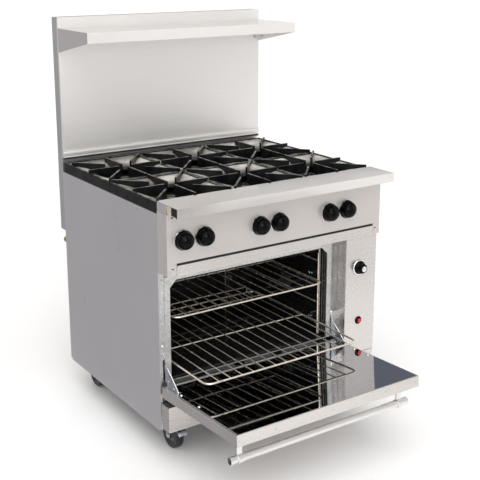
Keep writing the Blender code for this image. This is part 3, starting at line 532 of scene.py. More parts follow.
def make_ledge_ends():
    """Upright end plates from the control panel's sides up to the ledge, and what shows inside them."""
    top, bottom = 0.9260, 0.8948

    def plates(shape):
        for x in (LEFT, RIGHT - 0.0015):
            block(shape, at(x, 0.0004, bottom), at(x + 0.0015, 0.0588, top))

    def filler(shape):
        block(shape, at(LEFT + 0.0020, -0.0260, 0.8975), at(LEFT + 0.0200, -0.0010, 0.9255))

    def hollow(shape):
        # Painted shade: black blocks just inside the end plates stand in for the dark of the hollow ends.
        block(shape, at(LEFT + 0.0030, -0.0670, 0.8972), at(LEFT + 0.0060, -0.0265, 0.9258))
        block(shape, at(RIGHT - 0.0060, -0.0670, 0.8972), at(RIGHT - 0.0030, -0.0010, 0.9258))

    piece("ledge_end_plates", "range", "side_steel", plates, 0.0004)
    piece("ledge_end_filler", "range", "board", filler, 0.0006)
    piece("ledge_end_hollow_shade", "range", "painted_shade_black", hollow)


def make_panel_details():
    """Rivets on the control panel, black holes and notches of painted shade on it, painted shadow in the gaps
    over the crumb tray and the service column, and the tabs at the crumb tray's ends.
    """
    def rivets(shape):
        for x, z in ((LEFT + 0.0090, 0.8985 - 0.018), (RIGHT - 0.0090, 0.6960), (LEFT + 0.0100, 0.6930)):
            rivet(shape, at(x, 0, z), "-y", 0.0026)
        rivet(shape, at(RIGHT - 0.0070, 0, 0.7000), "-y", 0.0022)
        for y in (0.20, 0.62):
            rivet(shape, at(LEFT, y, 0.8700), "-x", 0.0030, 0.0010)
            rivet(shape, at(RIGHT, y, 0.8700), "x", 0.0030, 0.0010)

    def holes(shape):
        # Painted shade: a black notch and a black disc on the panel's face stand in for the dark of a slot
        # and a hole.
        block(shape, at(LEFT + 0.0170, -0.0004, 0.8790), at(LEFT + 0.0250, 0.0002, 0.8835))
        lathe(shape, [(0.0, 0.0003), (0.0021, 0.0003), (0.0021, -0.0002), (0.0, -0.0002)],
              turned_to_front(at(-0.4475, 0.0600, 0.6560)), 14)

    def tabs(shape):
        for x, away in ((LEFT + 0.0245, -1), (RIGHT - 0.0245, 1)):
            low, high = sorted((x, x + away * 0.0085))
            block(shape, at(low, -0.0009, 0.6835), at(high, 0.0002, 0.7100))
            block(shape, at(low, -0.0009, 0.7060), at(high, 0.0002, 0.7195))

    def gap(shape):
        # Painted shadow: thin black strips over the crumb tray's top and the service column's top stand in
        # for the shade in those gaps.
        low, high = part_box("crumb_tray")
        block(shape, at(low.x - 0.0010, -0.0005, high.z + 0.0004),
              at(high.x + 0.0012, 0.0005, high.z + 0.0082))
        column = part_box("service_column")
        block(shape, Vector((column[0].x, column[0].y - 0.0004, column[1].z + 0.0001)),
              Vector((column[1].x, column[0].y + 0.0040, column[1].z + 0.0022)))

    piece("panel_tray_gap_shadow", "range", "painted_shade_black", gap)
    piece("panel_rivets", "range", "zinc", rivets)
    piece("panel_hole_shades", "range", "painted_shade_black", holes)
    piece("panel_corner_tabs", "range", "front_steel", tabs, 0.0003)


def make_jamb_details():
    """Screws, channels, slot rims and spring loops on the two sides of the oven mouth."""
    def screws(shape):
        dome_screw(shape, at(-0.4480, 0.0600, 0.4200), "-y", 0.0048, 0.0030)
        dome_screw(shape, at(0.2860, 0.0600, 0.3850), "-y", 0.0042, 0.0026)
        rivet(shape, at(-0.4480, 0.0600, 0.6100), "-y", 0.0022)
        for z in (0.6350, 0.5150, 0.4650):
            rivet(shape, at(0.2990, 0.0600, z), "-y", 0.0022)

    def rims(shape):
        for x in HINGE_ARMS:
            path = [at(x - 0.0060, 0.0590, 0.3000), at(x - 0.0060, 0.0590, 0.3740),
                    at(x + 0.0060, 0.0590, 0.3740), at(x + 0.0060, 0.0590, 0.3000)]
            sweep(shape, fillet(path, 0.0058, 6), 0.0011, 8)

    def loops(shape):
        for x in HINGE_ARMS:
            ring = [at(x + 0.0045 * math.cos(a), 0.0578, 0.3870 + 0.0060 * math.sin(a))
                    for a in (math.radians(20 * k) for k in range(18))]
            sweep(shape, ring, 0.0010, 8, True)
            path = [at(x + 0.0028, 0.0582, 0.3810), at(x + 0.0030, 0.0572, 0.3600),
                    at(x + 0.0028, 0.0582, 0.3380)]
            sweep(shape, fillet(path, 0.01), 0.0010, 8)

    def channels(shape):
        block(shape, at(0.2790, 0.0594, 0.3850), at(0.3112, 0.0599, 0.6780))
        block(shape, at(-0.4360, 0.0594, 0.3850), at(-0.4250, 0.0599, 0.6740))

    def lines(shape):
        # Painted shadow: thin black strips along one edge of each channel.
        block(shape, at(0.2778, 0.0591, 0.3850), at(0.2790, 0.0599, 0.6780))
        block(shape, at(-0.4366, 0.0591, 0.3850), at(-0.4360, 0.0599, 0.6740))

    piece("jamb_channels", "range", "channel_steel", channels)
    piece("jamb_channel_edge_shadows", "range", "painted_shade_black", lines)
    piece("jamb_screws", "range", "bright_chrome", screws)
    piece("hinge_slot_rims", "range", "galvanised", rims)
    piece("hinge_spring_loops", "range", "bright_chrome", loops)


def make_riser_trim():
    """Rolled bead along the riser's foot, a black strip of painted shade for the seam below it, and the hem
    along its top.
    """
    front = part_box("riser_front_panel")[0].y - PANEL_Y
    profile = [(0.0, 0.9402), (-0.0010, 0.9408), (-0.0016, 0.9425), (-0.0010, 0.9445), (-0.0004, 0.9452),
               (-0.0012, 0.9462), (-0.0022, 0.9500), (-0.0024, 0.9560), (-0.0020, 0.9610), (-0.0010, 0.9640),
               (-0.0003, 0.9650), (-0.0009, 0.9658), (-0.0012, 0.9668), (-0.0006, 0.9676), (0.0004, 0.9676)]

    def bead(shape):
        outline = [(front + depth + PANEL_Y, z) for depth, z in profile]
        lengthwise = Matrix(((0, 0, 1, 0), (1, 0, 0, 0), (0, 1, 0, 0), (0, 0, 0, 1)))
        slab(shape, outline, LEFT + 0.0004, RIGHT - 0.0004, lengthwise)

    def seam(shape):
        # Painted shade: a black strip over the seam stands in for its shadow.
        block(shape, at(LEFT + 0.002, front - 0.0012, 0.9345), at(RIGHT - 0.002, front + 0.0060, 0.9392))

    def ledge_angle(shape):
        block(shape, at(LEFT + 0.001, front - 0.0022, 0.9312), at(RIGHT - 0.001, front + 0.0080, 0.9342))

    piece("riser_bead", "range", "riser_steel", bead)
    piece("riser_seam_shadow", "range", "painted_shade_black", seam)
    piece("riser_foot_angle", "range", "mild_steel", ledge_angle, 0.0004)


def make_back_details():
    """Screws on the back and a threaded union on the gas inlet."""
    def screws(shape):
        for x in (-0.43, -0.215, 0.0, 0.215, 0.43):
            for z in (0.1850, 0.4200, 0.6300):
                dome_screw(shape, at(x, 0.7975, z), "y", 0.0040, 0.0020, 16)
            dome_screw(shape, at(x, 0.8450, 0.8600), "y", 0.0036, 0.0016, 16)
            for z in (0.9100, 1.1800, 1.4400):
                dome_screw(shape, at(x, 0.8430, z), "y", 0.0036, 0.0016, 16)

    def union(shape):
        profile = [(0.0128, 0.002), (0.0165, 0.002), (0.0165, 0.016), (0.0128, 0.016)]
        lathe(shape, profile + [profile[0]], turned_to_front(at(-0.4385, 0.8180, 0.6000)), 6)

    piece("back_screws", "range", "zinc", screws)
    piece("gas_inlet_union", "range", "brass", union, 0.0008)


def make_shelf_details():
    """Bolts that hold the shelf to the riser."""
    def bolts(shape):
        for x in (LEFT + 0.020, RIGHT - 0.020):
            for z in (1.3600, 1.3900):
                dome_screw(shape, at(x, 0.7908, z), "-y", 0.0045, 0.0024, 16)

    piece("shelf_bolts", "range", "zinc", bolts)


# ---- Controls ----

def make_knob(name, centre):
    """Round knob with a deep skirt, a domed face and a raised pointer, on a bright ring."""
    def dial(shape):
        profile = [(0.0, 0.0350), (0.0060, 0.0349), (0.0120, 0.0341), (0.0175, 0.0325), (0.0222, 0.0298),
                   (0.0258, 0.0262), (0.0284, 0.0218), (0.0300, 0.0168), (0.0308, 0.0118), (0.0311, 0.0078),
                   (0.0322, 0.0062), (0.0334, 0.0052), (0.0338, 0.0038), (0.0336, 0.0020), (0.0, 0.0020)]
        lathe(shape, profile, turned_to_front(centre), 48)
        stations = [(0.0340, 0.0062, 0.0030), (0.0325, 0.0120, 0.0034), (0.0308, 0.0200, 0.0036),
                    (0.0262, 0.0278, 0.0034), (0.0190, 0.0336, 0.0030), (0.0110, 0.0362, 0.0022),
                    (0.0030, 0.0368, 0.0012)]
        crest = ((-1, -0.0035), (-0.7, 0.0004), (0, 0.0014), (0.7, 0.0004), (1, -0.0035))
        rows = []
        for height, out, half in stations:
            rows.append([shape.verts.new(centre + Vector((side * half, -(out + lift), height)))
                         for side, lift in crest])
        for first, second in zip(rows, rows[1:]):
            for k in range(4):
                shape.faces.new((first[k], first[k + 1], second[k + 1], second[k]))
        shape.faces.new(rows[0])
        shape.faces.new(list(reversed(rows[-1])))
        for first, second in zip(rows, rows[1:]):
            shape.faces.new((first[0], second[0], second[4], first[4]))

    def ring(shape):
        profile = [(0.0300, 0.0019), (0.0352, 0.0019), (0.0358, 0.0012), (0.0356, 0.0003), (0.0300, 0.0003)]
        lathe(shape, profile + [profile[0]], turned_to_front(centre), 48)

    piece(name + "_dial", name, "black_plastic", dial, replaces=(name,))
    piece(name + "_ring", name, "bright_chrome", ring)


def make_thermostat():
    centre = Vector(JOINTS["thermostat_turn"]["pos_m"])

    def knob(shape):
        profile = [(0.0, 0.0270), (0.0120, 0.0270), (0.0150, 0.0262), (0.0166, 0.0240), (0.0182, 0.0170),
                   (0.0200, 0.0100), (0.0222, 0.0070), (0.0246, 0.0060), (0.0256, 0.0046), (0.0256, 0.0010),
                   (0.0, 0.0010)]
        lathe(shape, profile, turned_to_front(centre), 40)

    def disc(shape):
        profile = [(0.0, 0.0290), (0.0085, 0.0289), (0.0104, 0.0284), (0.0110, 0.0274), (0.0110, 0.0264),
                   (0.0, 0.0264)]
        lathe(shape, profile, turned_to_front(centre), 40)

    def bezel(shape):
        profile = [(0.0262, 0.0030), (0.0284, 0.0028), (0.0300, 0.0018), (0.0306, 0.0002), (0.0262, 0.0002)]
        lathe(shape, profile + [profile[0]], turned_to_front(centre + Vector((0, 0.0012, 0))), 48)

    def ribs(shape):
        for k in range(12):
            angle = math.radians(30 * k)
            spin = turned_to_front(centre) @ Matrix.Rotation(angle, 4, "Z")
            block(shape, (0.0150, -0.0012, 0.0095), (0.0200, 0.0012, 0.0225), spin)

    piece("thermostat_knob_body", "thermostat_knob", "black_plastic", knob, replaces=("thermostat_knob",))
    piece("thermostat_knob_ribs", "thermostat_knob", "black_plastic", ribs, 0.0008)
    piece("thermostat_knob_disc", "thermostat_knob", "bright_chrome", disc)
    piece("thermostat_bezel", "range", "bright_chrome", bezel)


def make_igniter():
    low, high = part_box("igniter_button")
    face_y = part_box("service_column")[0].y
    centre = Vector(((low.x + high.x) / 2, face_y, (low.z + high.z) / 2))

    def bezel(shape):
        profile = [(0.0096, 0.0040), (0.0112, 0.0046), (0.0140, 0.0036), (0.0154, 0.0016), (0.0157, 0.0003),
                   (0.0096, 0.0003)]
        lathe(shape, profile + [profile[0]], turned_to_front(centre), 40)

    def button(shape):
        profile = [(0.0, 0.0116), (0.0045, 0.0113), (0.0076, 0.0106), (0.0088, 0.0096), (0.0088, 0.0078),
                   (0.0060, 0.0074), (0.0060, -0.0180), (0.0, -0.0180)]
        lathe(shape, profile, turned_to_front(centre), 32)

    piece("igniter_bezel", "range", "black_plastic", bezel)
    piece("igniter_button_cap", "igniter_button", "red_plastic", button, replaces=("igniter_button",))


# ---- Oven ----

def make_rack(name):
    """Chrome rack of round rods: rounded frame, cross rods and front to back wires."""
    low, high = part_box(name)
    rod, wire = 0.0040, 0.0021
    left, right = low.x + rod, high.x - rod
    front, rear = low.y + 0.0015, high.y - 0.0030
    z = low.z + 0.0036
    stop_z = high.z - 0.0028

    def rods(shape):
        corners = [Vector((left, front, z)), Vector((right, front, z)), Vector((right, rear, z)),
                   Vector((left, rear, z))]
        sweep(shape, fillet(corners, 0.030, 7, True), rod * 0.92, 14, True)
        middle = (front + rear) / 2
        for y in (middle, rear - 0.055):
            sweep(shape, [Vector((left, y, z - 0.0004)), Vector((right, y, z - 0.0004))], 0.0031, 12)
        stop = [Vector((left + 0.04, rear, z)), Vector((left + 0.04, rear, stop_z)),
                Vector((right - 0.04, rear, stop_z)), Vector((right - 0.04, rear, z))]
        sweep(shape, fillet(stop, 0.012, 5), 0.0027, 12)

    def wires(shape):
        for number in range(13):
            x = left + (right - left) * (number + 1) / 14
            sweep(shape, [Vector((x, front - 0.0022, z + 0.0014)), Vector((x, front, z + 0.0034)),
                          Vector((x, front + 0.006, z + 0.0040)), Vector((x, rear + 0.0005, z + 0.0040))],
                  wire, 10)

    piece(name + "_rods", name, "rack_wire", rods, replaces=(name,))
    piece(name + "_wires", name, "rack_wire", wires)


def make_oven_details():
    """Wall clips that hold the rack guides, the guides' front rods, a vent screen and a vent slot."""
    wall_left, wall_right = OVEN_LO.x + 0.0018, OVEN_HI.x - 0.0018

    def clips(shape):
        for x, axis, side in ((wall_left, "x", 1), (wall_right, "-x", -1)):
            for depth, z in ((0.1480, 0.5220), (0.1480, 0.3470), (0.7100, 0.5220), (0.7100, 0.3420)):
                dome_screw(shape, at(x, depth, z), axis, 0.0050, 0.0034, 18)
                ring = [at(x + side * 0.0045, depth + 0.0085 * math.cos(a), z + 0.0085 * math.sin(a))
                        for a in (math.radians(20 * k) for k in range(18))]
                sweep(shape, ring, 0.0013, 8, True)
                hook = [at(x + side * 0.0045, depth - 0.0080, z),
                        at(x + side * 0.0060, depth - 0.0240, z - 0.0020),
                        at(x + side * 0.0090, depth - 0.0300, z - 0.0080)]
                sweep(shape, fillet(hook, 0.008), 0.0013, 8)

    def screen(shape):
        x = wall_right - 0.0016
        for k in range(11):
            y = 0.2800 + k * 0.0060
            block(shape, at(x, y, 0.4250), at(x + 0.0008, y + 0.0018, 0.4700))
        for k in range(9):
            z = 0.4250 + k * 0.0055
            block(shape, at(x + 0.0002, 0.2800, z), at(x + 0.0010, 0.3420, z + 0.0018))

    def vent(shape):
        # Painted shade: a black block on the right wall stands in for the dark of the vent slot.
        block(shape, at(wall_right - 0.0012, 0.3300, 0.4800), at(wall_right - 0.0002, 0.4100, 0.4950))

    def upright(shape):
        for x, side in ((wall_left, 1), (wall_right, -1)):
            x += side * 0.0150
            sweep(shape, [at(x, 0.0900, 0.2960), at(x, 0.0900, 0.6180)], 0.0026, 12)

    piece("rack_guide_clips", "range", "bright_chrome", clips)
    piece("oven_vent_screen", "range", "mild_steel", screen)
    piece("oven_vent_slot_shade", "range", "painted_shade_black", vent)
    piece("rack_guide_front_rods", "range", "chrome", upright)


# ---- Door ----

def make_door_details():
    door = in_door()

    def front_screws(shape):
        for x in (-0.4490, -0.3120, -0.0830, 0.1440, 0.2810):
            matrix = door @ Matrix.Translation((x, -DOOR_REACH, 0.0095)) @ TURN_Y
            lathe(shape, [(0.0, 0.0007), (0.0009, 0.0007), (0.0012, 0.0012), (0.0026, 0.0009),
                          (0.0031, 0.0002), (0.0031, -0.0003), (0.0, -0.0003)], matrix, 18)

    def liner_bolts(shape):
        for x, reach, radius in ((DOOR_LEFT + 0.0150, 0.0750, 0.0050), (DOOR_LEFT + 0.0150, 0.1865, 0.0050),
                                 (DOOR_RIGHT - 0.0150, 0.1075, 0.0045), (DOOR_RIGHT - 0.0150, 0.1825, 0.0045),
                                 (DOOR_LEFT + 0.0230, 0.0080, 0.0040), (DOOR_RIGHT - 0.0230, 0.0080, 0.0040)):
            matrix = door @ Matrix.Translation((x, -reach, DOOR_INNER))
            lathe(shape, [(0.0, 0.0034), (radius * 0.5, 0.0032), (radius * 0.86, 0.0021), (radius, 0.0008),
                          (radius * 1.3, 0.0006), (radius * 1.3, -0.0002), (0.0, -0.0002)], matrix, 24)

    def side_hems(shape):
        for x in (DOOR_LEFT - 0.0005, DOOR_RIGHT + 0.0001):
            block(shape, (x, -DOOR_REACH + 0.001, 0.0236), (x + 0.0004, 0.0255, 0.0280), door)

    piece("door_front_screws", "oven_door", "zinc", front_screws)
    piece("door_liner_bolts", "oven_door", "bright_chrome", liner_bolts)
    piece("door_side_hems", "oven_door", "side_steel", side_hems)


def make_handle():
    """Hollow tube in saddles on two straight straps below the door."""
    low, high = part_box("door_handle")
    left, right = low.x, high.x
    reach, drop, radius = 0.3720, 0.0800, 0.0127
    door = in_door()
    centre = door @ Vector((0, -reach, -drop))

    def tube(shape):
        middle, half, inner = (left + right) / 2, (right - left) / 2, radius - 0.0016
        profile = [(0.0, half - 0.030), (inner, half - 0.030), (inner, half - 0.0004), (inner + 0.0004, half),
                   (radius - 0.0004, half), (radius, half - 0.0004)]
        profile += [(r, -z) for r, z in reversed(profile)]
        lathe(shape, profile, Matrix.Translation(Vector((middle, centre.y, centre.z))) @ TURN_X, 40)

    def straps(shape):
        for x in (DOOR_LEFT + 0.0430, DOOR_RIGHT - 0.0430):
            block(shape, (x - 0.0105, -reach - 0.0030, -drop + 0.004),
                  (x + 0.0105, -reach + 0.0030, -0.0112), door)
            block(shape, (x - 0.0140, -reach - 0.0230, -0.0146),
                  (x + 0.0140, -reach + 0.0230, -0.0110), door)
            saddle = [(radius + 0.0026, 0.0105), (radius + 0.0026, -0.0105), (radius - 0.0002, -0.0105),
                      (radius - 0.0002, 0.0105)]
            spot = Matrix.Translation(Vector((x, centre.y, centre.z))) @ TURN_X
            lathe(shape, saddle + [saddle[0]], spot, 32)

    piece("door_handle_tube", "oven_door", "tube_steel", tube, replaces=("door_handle",))
    piece("door_handle_straps", "oven_door", "tube_steel", straps, 0.0008)


def make_hinge_details():
    """Rolled edge, pivots and feet on the two hinge arms."""
    door = in_door()

    def edges(shape):
        for x in HINGE_ARMS:
            path = [door @ Vector((x, 0.0200, 0.1045)), door @ Vector((x, -0.0100, 0.0800)),
                    door @ Vector((x, -0.0535, 0.0385)), door @ Vector((x, -0.0560, 0.0306))]
            sweep(shape, fillet(path, 0.006), 0.0019, 10)

    def pivots(shape):
        for x in HINGE_ARMS:
            for y, z, radius in ((0.0205, 0.0960, 0.0042), (0.0070, 0.0520, 0.0036),
                                 (-0.0300, 0.0380, 0.0032)):
                centre = door @ Vector((x, y, z))
                for side, axis in ((-1, "-x"), (1, "x")):
                    rivet(shape, centre + Vector((side * 0.0015, 0, 0)), axis, radius, 0.0016, 18)

    def feet(shape):
        for x, side in zip(HINGE_ARMS, (1, -1)):
            low, high = sorted((x, x + side * 0.0120))
            block(shape, (low, -0.0560, 0.0301), (high, 0.0120, 0.0318), door)

    piece("hinge_arm_edges", "oven_door", "bright_chrome", edges)
    piece("hinge_arm_pivots", "oven_door", "bright_chrome", pivots)
    piece("hinge_arm_feet", "oven_door", "zinc", feet, 0.0004)


# ---- Cooktop ----

PORT_DEPTH = 0.955              # share of the radius left between a burner's ports


def make_burner(side, row, x):
    """Cast burner head with a toothed port ring and a cap, on its neck and mixer tube."""
    name = "burner_%s_%s" % (row, side)
    centre = at(x, BURNER_Y[row], 0)
    mixer_z = {"front": 0.8300, "rear": 0.7950}[row]

    def head(shape):
        sides = 48
        profile = [(0.0, 0.8800, 0), (0.0150, 0.8800, 0), (0.0165, 0.8832, 0), (0.0230, 0.8838, 0),
                   (0.0300, 0.8822, 0), (0.0400, 0.8785, 1), (0.0446, 0.8752, 1), (0.0450, 0.8725, 1),
                   (0.0420, 0.8690, 0), (0.0300, 0.8600, 0), (0.0225, 0.8530, 0), (0.0185, 0.8480, 0),
                   (0.0180, mixer_z, 0), (0.0, mixer_z, 0)]
        rings = []
        for radius, z, toothed in profile:
            if not radius:
                rings.append([shape.verts.new(centre + Vector((0, 0, z)))])
                continue
            ring = []
            for k, (u, v) in enumerate(circle(sides)):
                local = radius * (PORT_DEPTH if toothed and k % 2 else 1.0)
                ring.append(shape.verts.new(centre + Vector((local * u, local * v, z))))
            rings.append(ring)
        skin(shape, rings)

    def mixer(shape):
        start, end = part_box(name)[0].y, centre.y + 0.004
        length = end - start
        profile = [(0.0, 0.0), (0.0150, 0.0), (0.0150, -0.012), (0.0118, -0.024), (0.0110, -length * 0.6),
                   (0.0135, -length), (0.0, -length)]
        lathe(shape, profile, turned_to_front(Vector((x, start, mixer_z))), 24)

    piece(name + "_head", "range", "cast_iron", head, replaces=(name,))
    piece(name + "_mixer", "range", "cast_iron", mixer)


def make_grate_bowl(side, row, x):
    """Sloping plate inside a grate's frame that falls to a round opening over the burner."""
    name = "grate_%s_%s" % (row, side)
    low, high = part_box(name)
    centre = at(x, BURNER_Y[row], 0)
    bar = 0.0078
    opening = 0.0960

    def bowl(shape):
        count = 72
        rings = []
        levels = ((0.0, 0.9190), (0.25, 0.9172), (0.5, 0.9128), (0.75, 0.9055), (1.0, 0.8950))
        for under in (0.0, 0.0022):
            for share, z in (levels if not under else reversed(levels)):
                ring = []
                for u, v in circle(count):
                    ray = Vector((u, v, 0))
                    span = []
                    for axis in (0, 1):
                        if abs(ray[axis]) > 1e-6:
                            edge = (high[axis] - bar if ray[axis] > 0 else low[axis] + bar) - centre[axis]
                            span.append(edge / ray[axis])
                    outer = min(span)
                    radius = outer + (opening - outer) * share
                    ring.append(shape.verts.new(Vector((centre.x, centre.y, 0)) + ray * radius
                                                + Vector((0, 0, z - under))))
                rings.append(ring)
        skin(shape, rings + rings[:1])

    piece("%s_bowl" % name, name, "bowl_iron", bowl)


# ---- Casters ----

def make_caster(number):
    hub = CASTERS[number]
    swivel = SWIVELS[number]
    direction = -1 if hub.y < swivel.y else 1
    axle = Matrix.Translation(hub) @ TURN_X
    low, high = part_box("caster_wheel_%d" % number)
    width = (high.x - low.x) / 2

    def tyre(shape):
        half = width
        profile = [(0.0300, half - 0.0030), (0.0330, half - 0.0008), (0.0400, half), (0.0462, half - 0.0012),
                   (0.0494, half - 0.0050), (0.0506, half - 0.0095), (0.0508, 0.0)]
        profile += [(r, -z) for r, z in reversed(profile[:-1])]
        lathe(shape, profile + [profile[0]], axle, 56)

    def core(shape):
        half = width
        profile = [(0.0046, half), (0.0120, half), (0.0138, half - 0.0012), (0.0142, half - 0.0062),
                   (0.0280, half - 0.0062), (0.0292, half - 0.0016), (0.0301, half - 0.0016)]
        profile += [(r, -z) for r, z in reversed(profile)]
        lathe(shape, profile + [profile[0]], axle, 40)

    def bolts(shape):
        for side in (-1, 1):
            spin = Matrix.Translation(hub + Vector((side * 0.0210, 0, 0))) @ facing("x" if side > 0 else "-x")
            lathe(shape, [(0.0, 0.0062), (0.0040, 0.0062), (0.0046, 0.0056), (0.0046, 0.0046),
                          (0.0086, 0.0044), (0.0092, 0.0036), (0.0092, 0.0002), (0.0, 0.0002)], spin, 6)
            lathe(shape, [(0.0, 0.0012), (0.0112, 0.0012), (0.0116, 0.0006), (0.0116, -0.0002),
                          (0.0, -0.0002)], spin, 28)

    def race(shape):
        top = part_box("caster_fork_%d" % number)[1].z
        lathe(shape, [(0.0265, top - 0.0101), (0.0302, top - 0.0101), (0.0318, top - 0.0080),
                      (0.0318, top - 0.0030), (0.0302, top - 0.0006), (0.0265, top - 0.0006),
                      (0.0265, top - 0.0101)], Matrix.Translation(Vector((swivel.x, swivel.y, 0))), 40)

    def plate(shape):
        for dx in (-0.043, 0.043):
            for dy in (-0.043, 0.043):
                spot = Vector((swivel.x + dx, swivel.y + dy, 0.1275))
                lathe(shape, [(0.0, 0.0), (0.0060, 0.0), (0.0060, -0.0044), (0.0, -0.0044)],
                      Matrix.Translation(spot), 6)

    piece("caster_tyre_%d" % number, "wheel_%d" % number, "rubber", tyre,
          replaces=("caster_wheel_%d" % number,))
    piece("caster_core_%d" % number, "wheel_%d" % number, "mild_steel", core)
    piece("caster_bolts_%d" % number, "caster_%d" % number, "zinc", bolts, 0.0004)
    piece("caster_race_%d" % number, "caster_%d" % number, "zinc", race)
    piece("caster_plate_bolts_%d" % number, "range", "zinc", plate, 0.0004)
    if direction < 0:
        make_brake(number, swivel)


def make_brake(number, swivel):
    """Pressed pedal with turned-down sides and a ribbed toe."""
    stations = [(-0.0245, 0.1112, 0.0125), (-0.0400, 0.1082, 0.0150), (-0.0600, 0.1030, 0.0163),
                (-0.0760, 0.0972, 0.0165), (-0.0860, 0.0900, 0.0165), (-0.0940, 0.0812, 0.0160),
                (-0.1005, 0.0728, 0.0150)]

    def pedal(shape):
        rows = []
        for offset, z, half in stations:
            y = swivel.y + offset
            section = [(-half, -0.0050), (-half, -0.0006), (-half + 0.0014, 0.0006), (half - 0.0014, 0.0006),
                       (half, -0.0006), (half, -0.0050), (half - 0.0012, -0.0050), (half - 0.0012, -0.0010),
                       (-half + 0.0012, -0.0010), (-half + 0.0012, -0.0050)]
            rows.append([shape.verts.new(Vector((swivel.x + dx, y, z + dz))) for dx, dz in section])
        skin(shape, rows)
        shape.faces.new(rows[0])
        shape.faces.new(list(reversed(rows[-1])))

    def ribs(shape):
        for offset, z in ((-0.0800, 0.0946), (-0.0865, 0.0902), (-0.0925, 0.0838), (-0.0975, 0.0774)):
            y = swivel.y + offset
            sweep(shape, [Vector((swivel.x - 0.011, y, z)), Vector((swivel.x + 0.011, y, z))], 0.0011, 8)

    name = "brake_lever_%d" % number
    piece(name + "_pedal", "brake_%d" % number, "zinc", pedal, replaces=(name,))
    piece(name + "_ribs", "brake_%d" % number, "zinc", ribs)


# ---- Studio ----

CARD_HEIGHT = 0.004             # of a card lying on the floor
CAMERA = {"place": (-1.90531, -2.78206, 1.71023), "azimuth": -34.0646, "tilt": 14.1542, "focal": 954.01,
          "shift": -0.100}
FRAME_PIXELS = 480
SENSOR = 36.0


def card(name, corners, colour, strength):
    """Flat studio card that only reflections see."""
    mesh = bpy.data.meshes.new(name)
    mesh.from_pydata(corners, [], [(0, 1, 2, 3)])
    node = bpy.data.objects.new(name, mesh)
    bpy.context.scene.collection.objects.link(node)
    material = bpy.data.materials.new(name)
    material.use_nodes = True
    tree = material.node_tree
    tree.nodes.clear()
    glow = tree.nodes.new("ShaderNodeEmission")
    glow.inputs["Color"].default_value = (*colour, 1)
    glow.inputs["Strength"].default_value = strength
    tree.links.new(glow.outputs[0], tree.nodes.new("ShaderNodeOutputMaterial").inputs["Surface"])
    mesh.materials.append(material)
    node.visible_camera = False
    node.visible_diffuse = False
    node.visible_shadow = False


def floor_card(name, x, y, colour, strength):
    corners = ((x[0], y[0]), (x[1], y[0]), (x[1], y[1]), (x[0], y[1]))
    card(name, [(u, v, CARD_HEIGHT) for u, v in corners], colour, strength)


def wall_card(name, start, end, low, high, colour, strength):
    """Upright card over a line on the floor."""
    card(name, [(*start, low), (*end, low), (*end, high), (*start, high)], colour, strength)


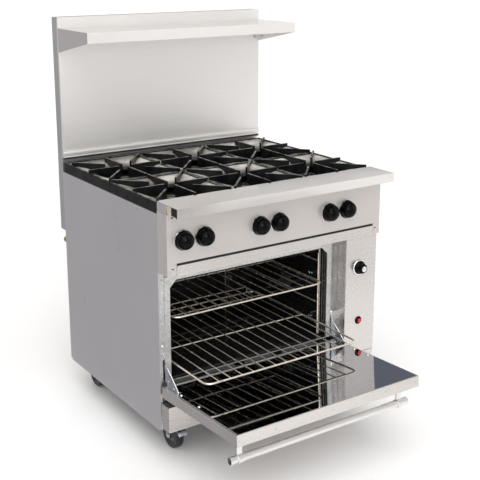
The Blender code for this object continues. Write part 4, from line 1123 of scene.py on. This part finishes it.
def make_studio():
    scene = bpy.context.scene
    scene.view_settings.view_transform = "Standard"

    data = bpy.data.cameras.new("camera")
    data.sensor_width = SENSOR
    data.lens = CAMERA["focal"] * SENSOR / FRAME_PIXELS
    data.shift_y = CAMERA["shift"]
    data.clip_end = 500
    camera = bpy.data.objects.new("camera", data)
    camera.location = CAMERA["place"]
    camera.rotation_euler = (math.radians(90 - CAMERA["tilt"]), 0, math.radians(CAMERA["azimuth"]))
    scene.collection.objects.link(camera)
    scene.camera = camera

    mesh = bpy.data.meshes.new("floor")
    mesh.from_pydata([(-60, -60, 0), (60, -60, 0), (60, 60, 0), (-60, 60, 0)], [], [(0, 1, 2, 3)])
    floor = bpy.data.objects.new("floor", mesh)
    scene.collection.objects.link(floor)
    look = Look("floor", (0.93, 0.93, 0.93), 0.0, 0.75)
    look.tint(look.noise(0.6, 2.0), 0.995, 1.005)
    mesh.materials.append(look.done())

    world = bpy.data.worlds.new("studio")
    scene.world = world
    world.use_nodes = True
    tree = world.node_tree
    background = tree.nodes["Background"]
    where = tree.nodes.new("ShaderNodeTexCoord")
    split = tree.nodes.new("ShaderNodeSeparateXYZ")
    height = tree.nodes.new("ShaderNodeMapRange")
    height.interpolation_type = "SMOOTHSTEP"
    for socket, value in (("From Min", 0.05), ("From Max", 0.32), ("To Min", 0.97), ("To Max", 0.70)):
        height.inputs[socket].default_value = value
    tree.links.new(where.outputs["Generated"], split.inputs[0])
    tree.links.new(split.outputs[2], height.inputs["Value"])
    tree.links.new(height.outputs["Result"], background.inputs["Strength"])
    background.inputs["Color"].default_value = (1.0, 0.985, 0.97, 1)

    for name, energy, spread, toward in (("overhead", 1.50, 58, (0.25, 0.41, -0.88)),
                                         ("front", 0.55, 36, (0.40, 0.82, -0.40))):
        sun = bpy.data.lights.new(name, "SUN")
        sun.energy = energy
        sun.angle = math.radians(spread)
        lamp = bpy.data.objects.new(name, sun)
        lamp.rotation_euler = Vector(toward).to_track_quat("-Z", "Y").to_euler()
        scene.collection.objects.link(lamp)

    floor_card("card_floor_left", (-7.0, -0.50), (-0.6, 9.0), (1.0, 0.985, 1.0), 0.35)
    floor_card("card_panel", (0.5, 2.3), (-3.2, -2.2), (1.0, 0.99, 0.98), 0.62)
    card("card_riser_left", [(-3.0, -10.0, CARD_HEIGHT), (4.6, -10.0, CARD_HEIGHT),
                             (1.5, -3.2, CARD_HEIGHT), (-3.0, -3.2, CARD_HEIGHT)], (1.0, 0.99, 0.99), 0.34)
    floor_card("card_column", (0.6, 2.3), (-2.2, -1.2), (1.0, 0.99, 0.98), 0.86)
    card("card_riser_right", [(5.2, -10.0, CARD_HEIGHT), (12.0, -10.0, CARD_HEIGHT),
                              (8.0, -2.6, CARD_HEIGHT), (2.3, -2.6, CARD_HEIGHT)], (1.0, 0.99, 0.97), 1.05)
    wall_card("card_wall_left", (-7.0, -2.0), (-7.0, 9.0), 0.0, 5.0, (1.0, 0.985, 1.0), 0.42)
    wall_card("card_wall_back", (-7.0, 9.0), (-0.6, 9.0), 0.0, 5.0, (1.0, 0.985, 1.0), 0.40)
    wall_card("card_behind_right", (0.62, 1.2), (3.8, 1.2), 0.0, 1.32, (0.86, 0.92, 1.10), 0.16)
    wall_card("card_right", (3.6, -0.5), (3.6, 0.4), 0.5, 2.4, (1.0, 1.0, 1.0), 0.60)
    wall_card("card_front", (-0.75, -5.0), (-0.35, -5.0), 0.3, 2.8, (1.0, 1.0, 1.0), 15.0)


# ---- Assembly ----

def main():
    dress_nodes()
    make_ledge_ends()
    make_panel_details()
    make_jamb_details()
    make_riser_trim()
    make_back_details()
    make_shelf_details()
    for name, centre in KNOBS.items():
        make_knob(name, centre)
    make_thermostat()
    make_igniter()
    for name in ("lower_rack", "upper_rack"):
        make_rack(name)
    make_oven_details()
    make_door_details()
    make_handle()
    make_hinge_details()
    for side, x in zip(("left", "centre", "right"), BURNER_X):
        for row in ("front", "rear"):
            make_burner(side, row, x)
            make_grate_bowl(side, row, x)
    for number in CASTERS:
        make_caster(number)
    make_studio()


main()
bpy.context.view_layer.update()
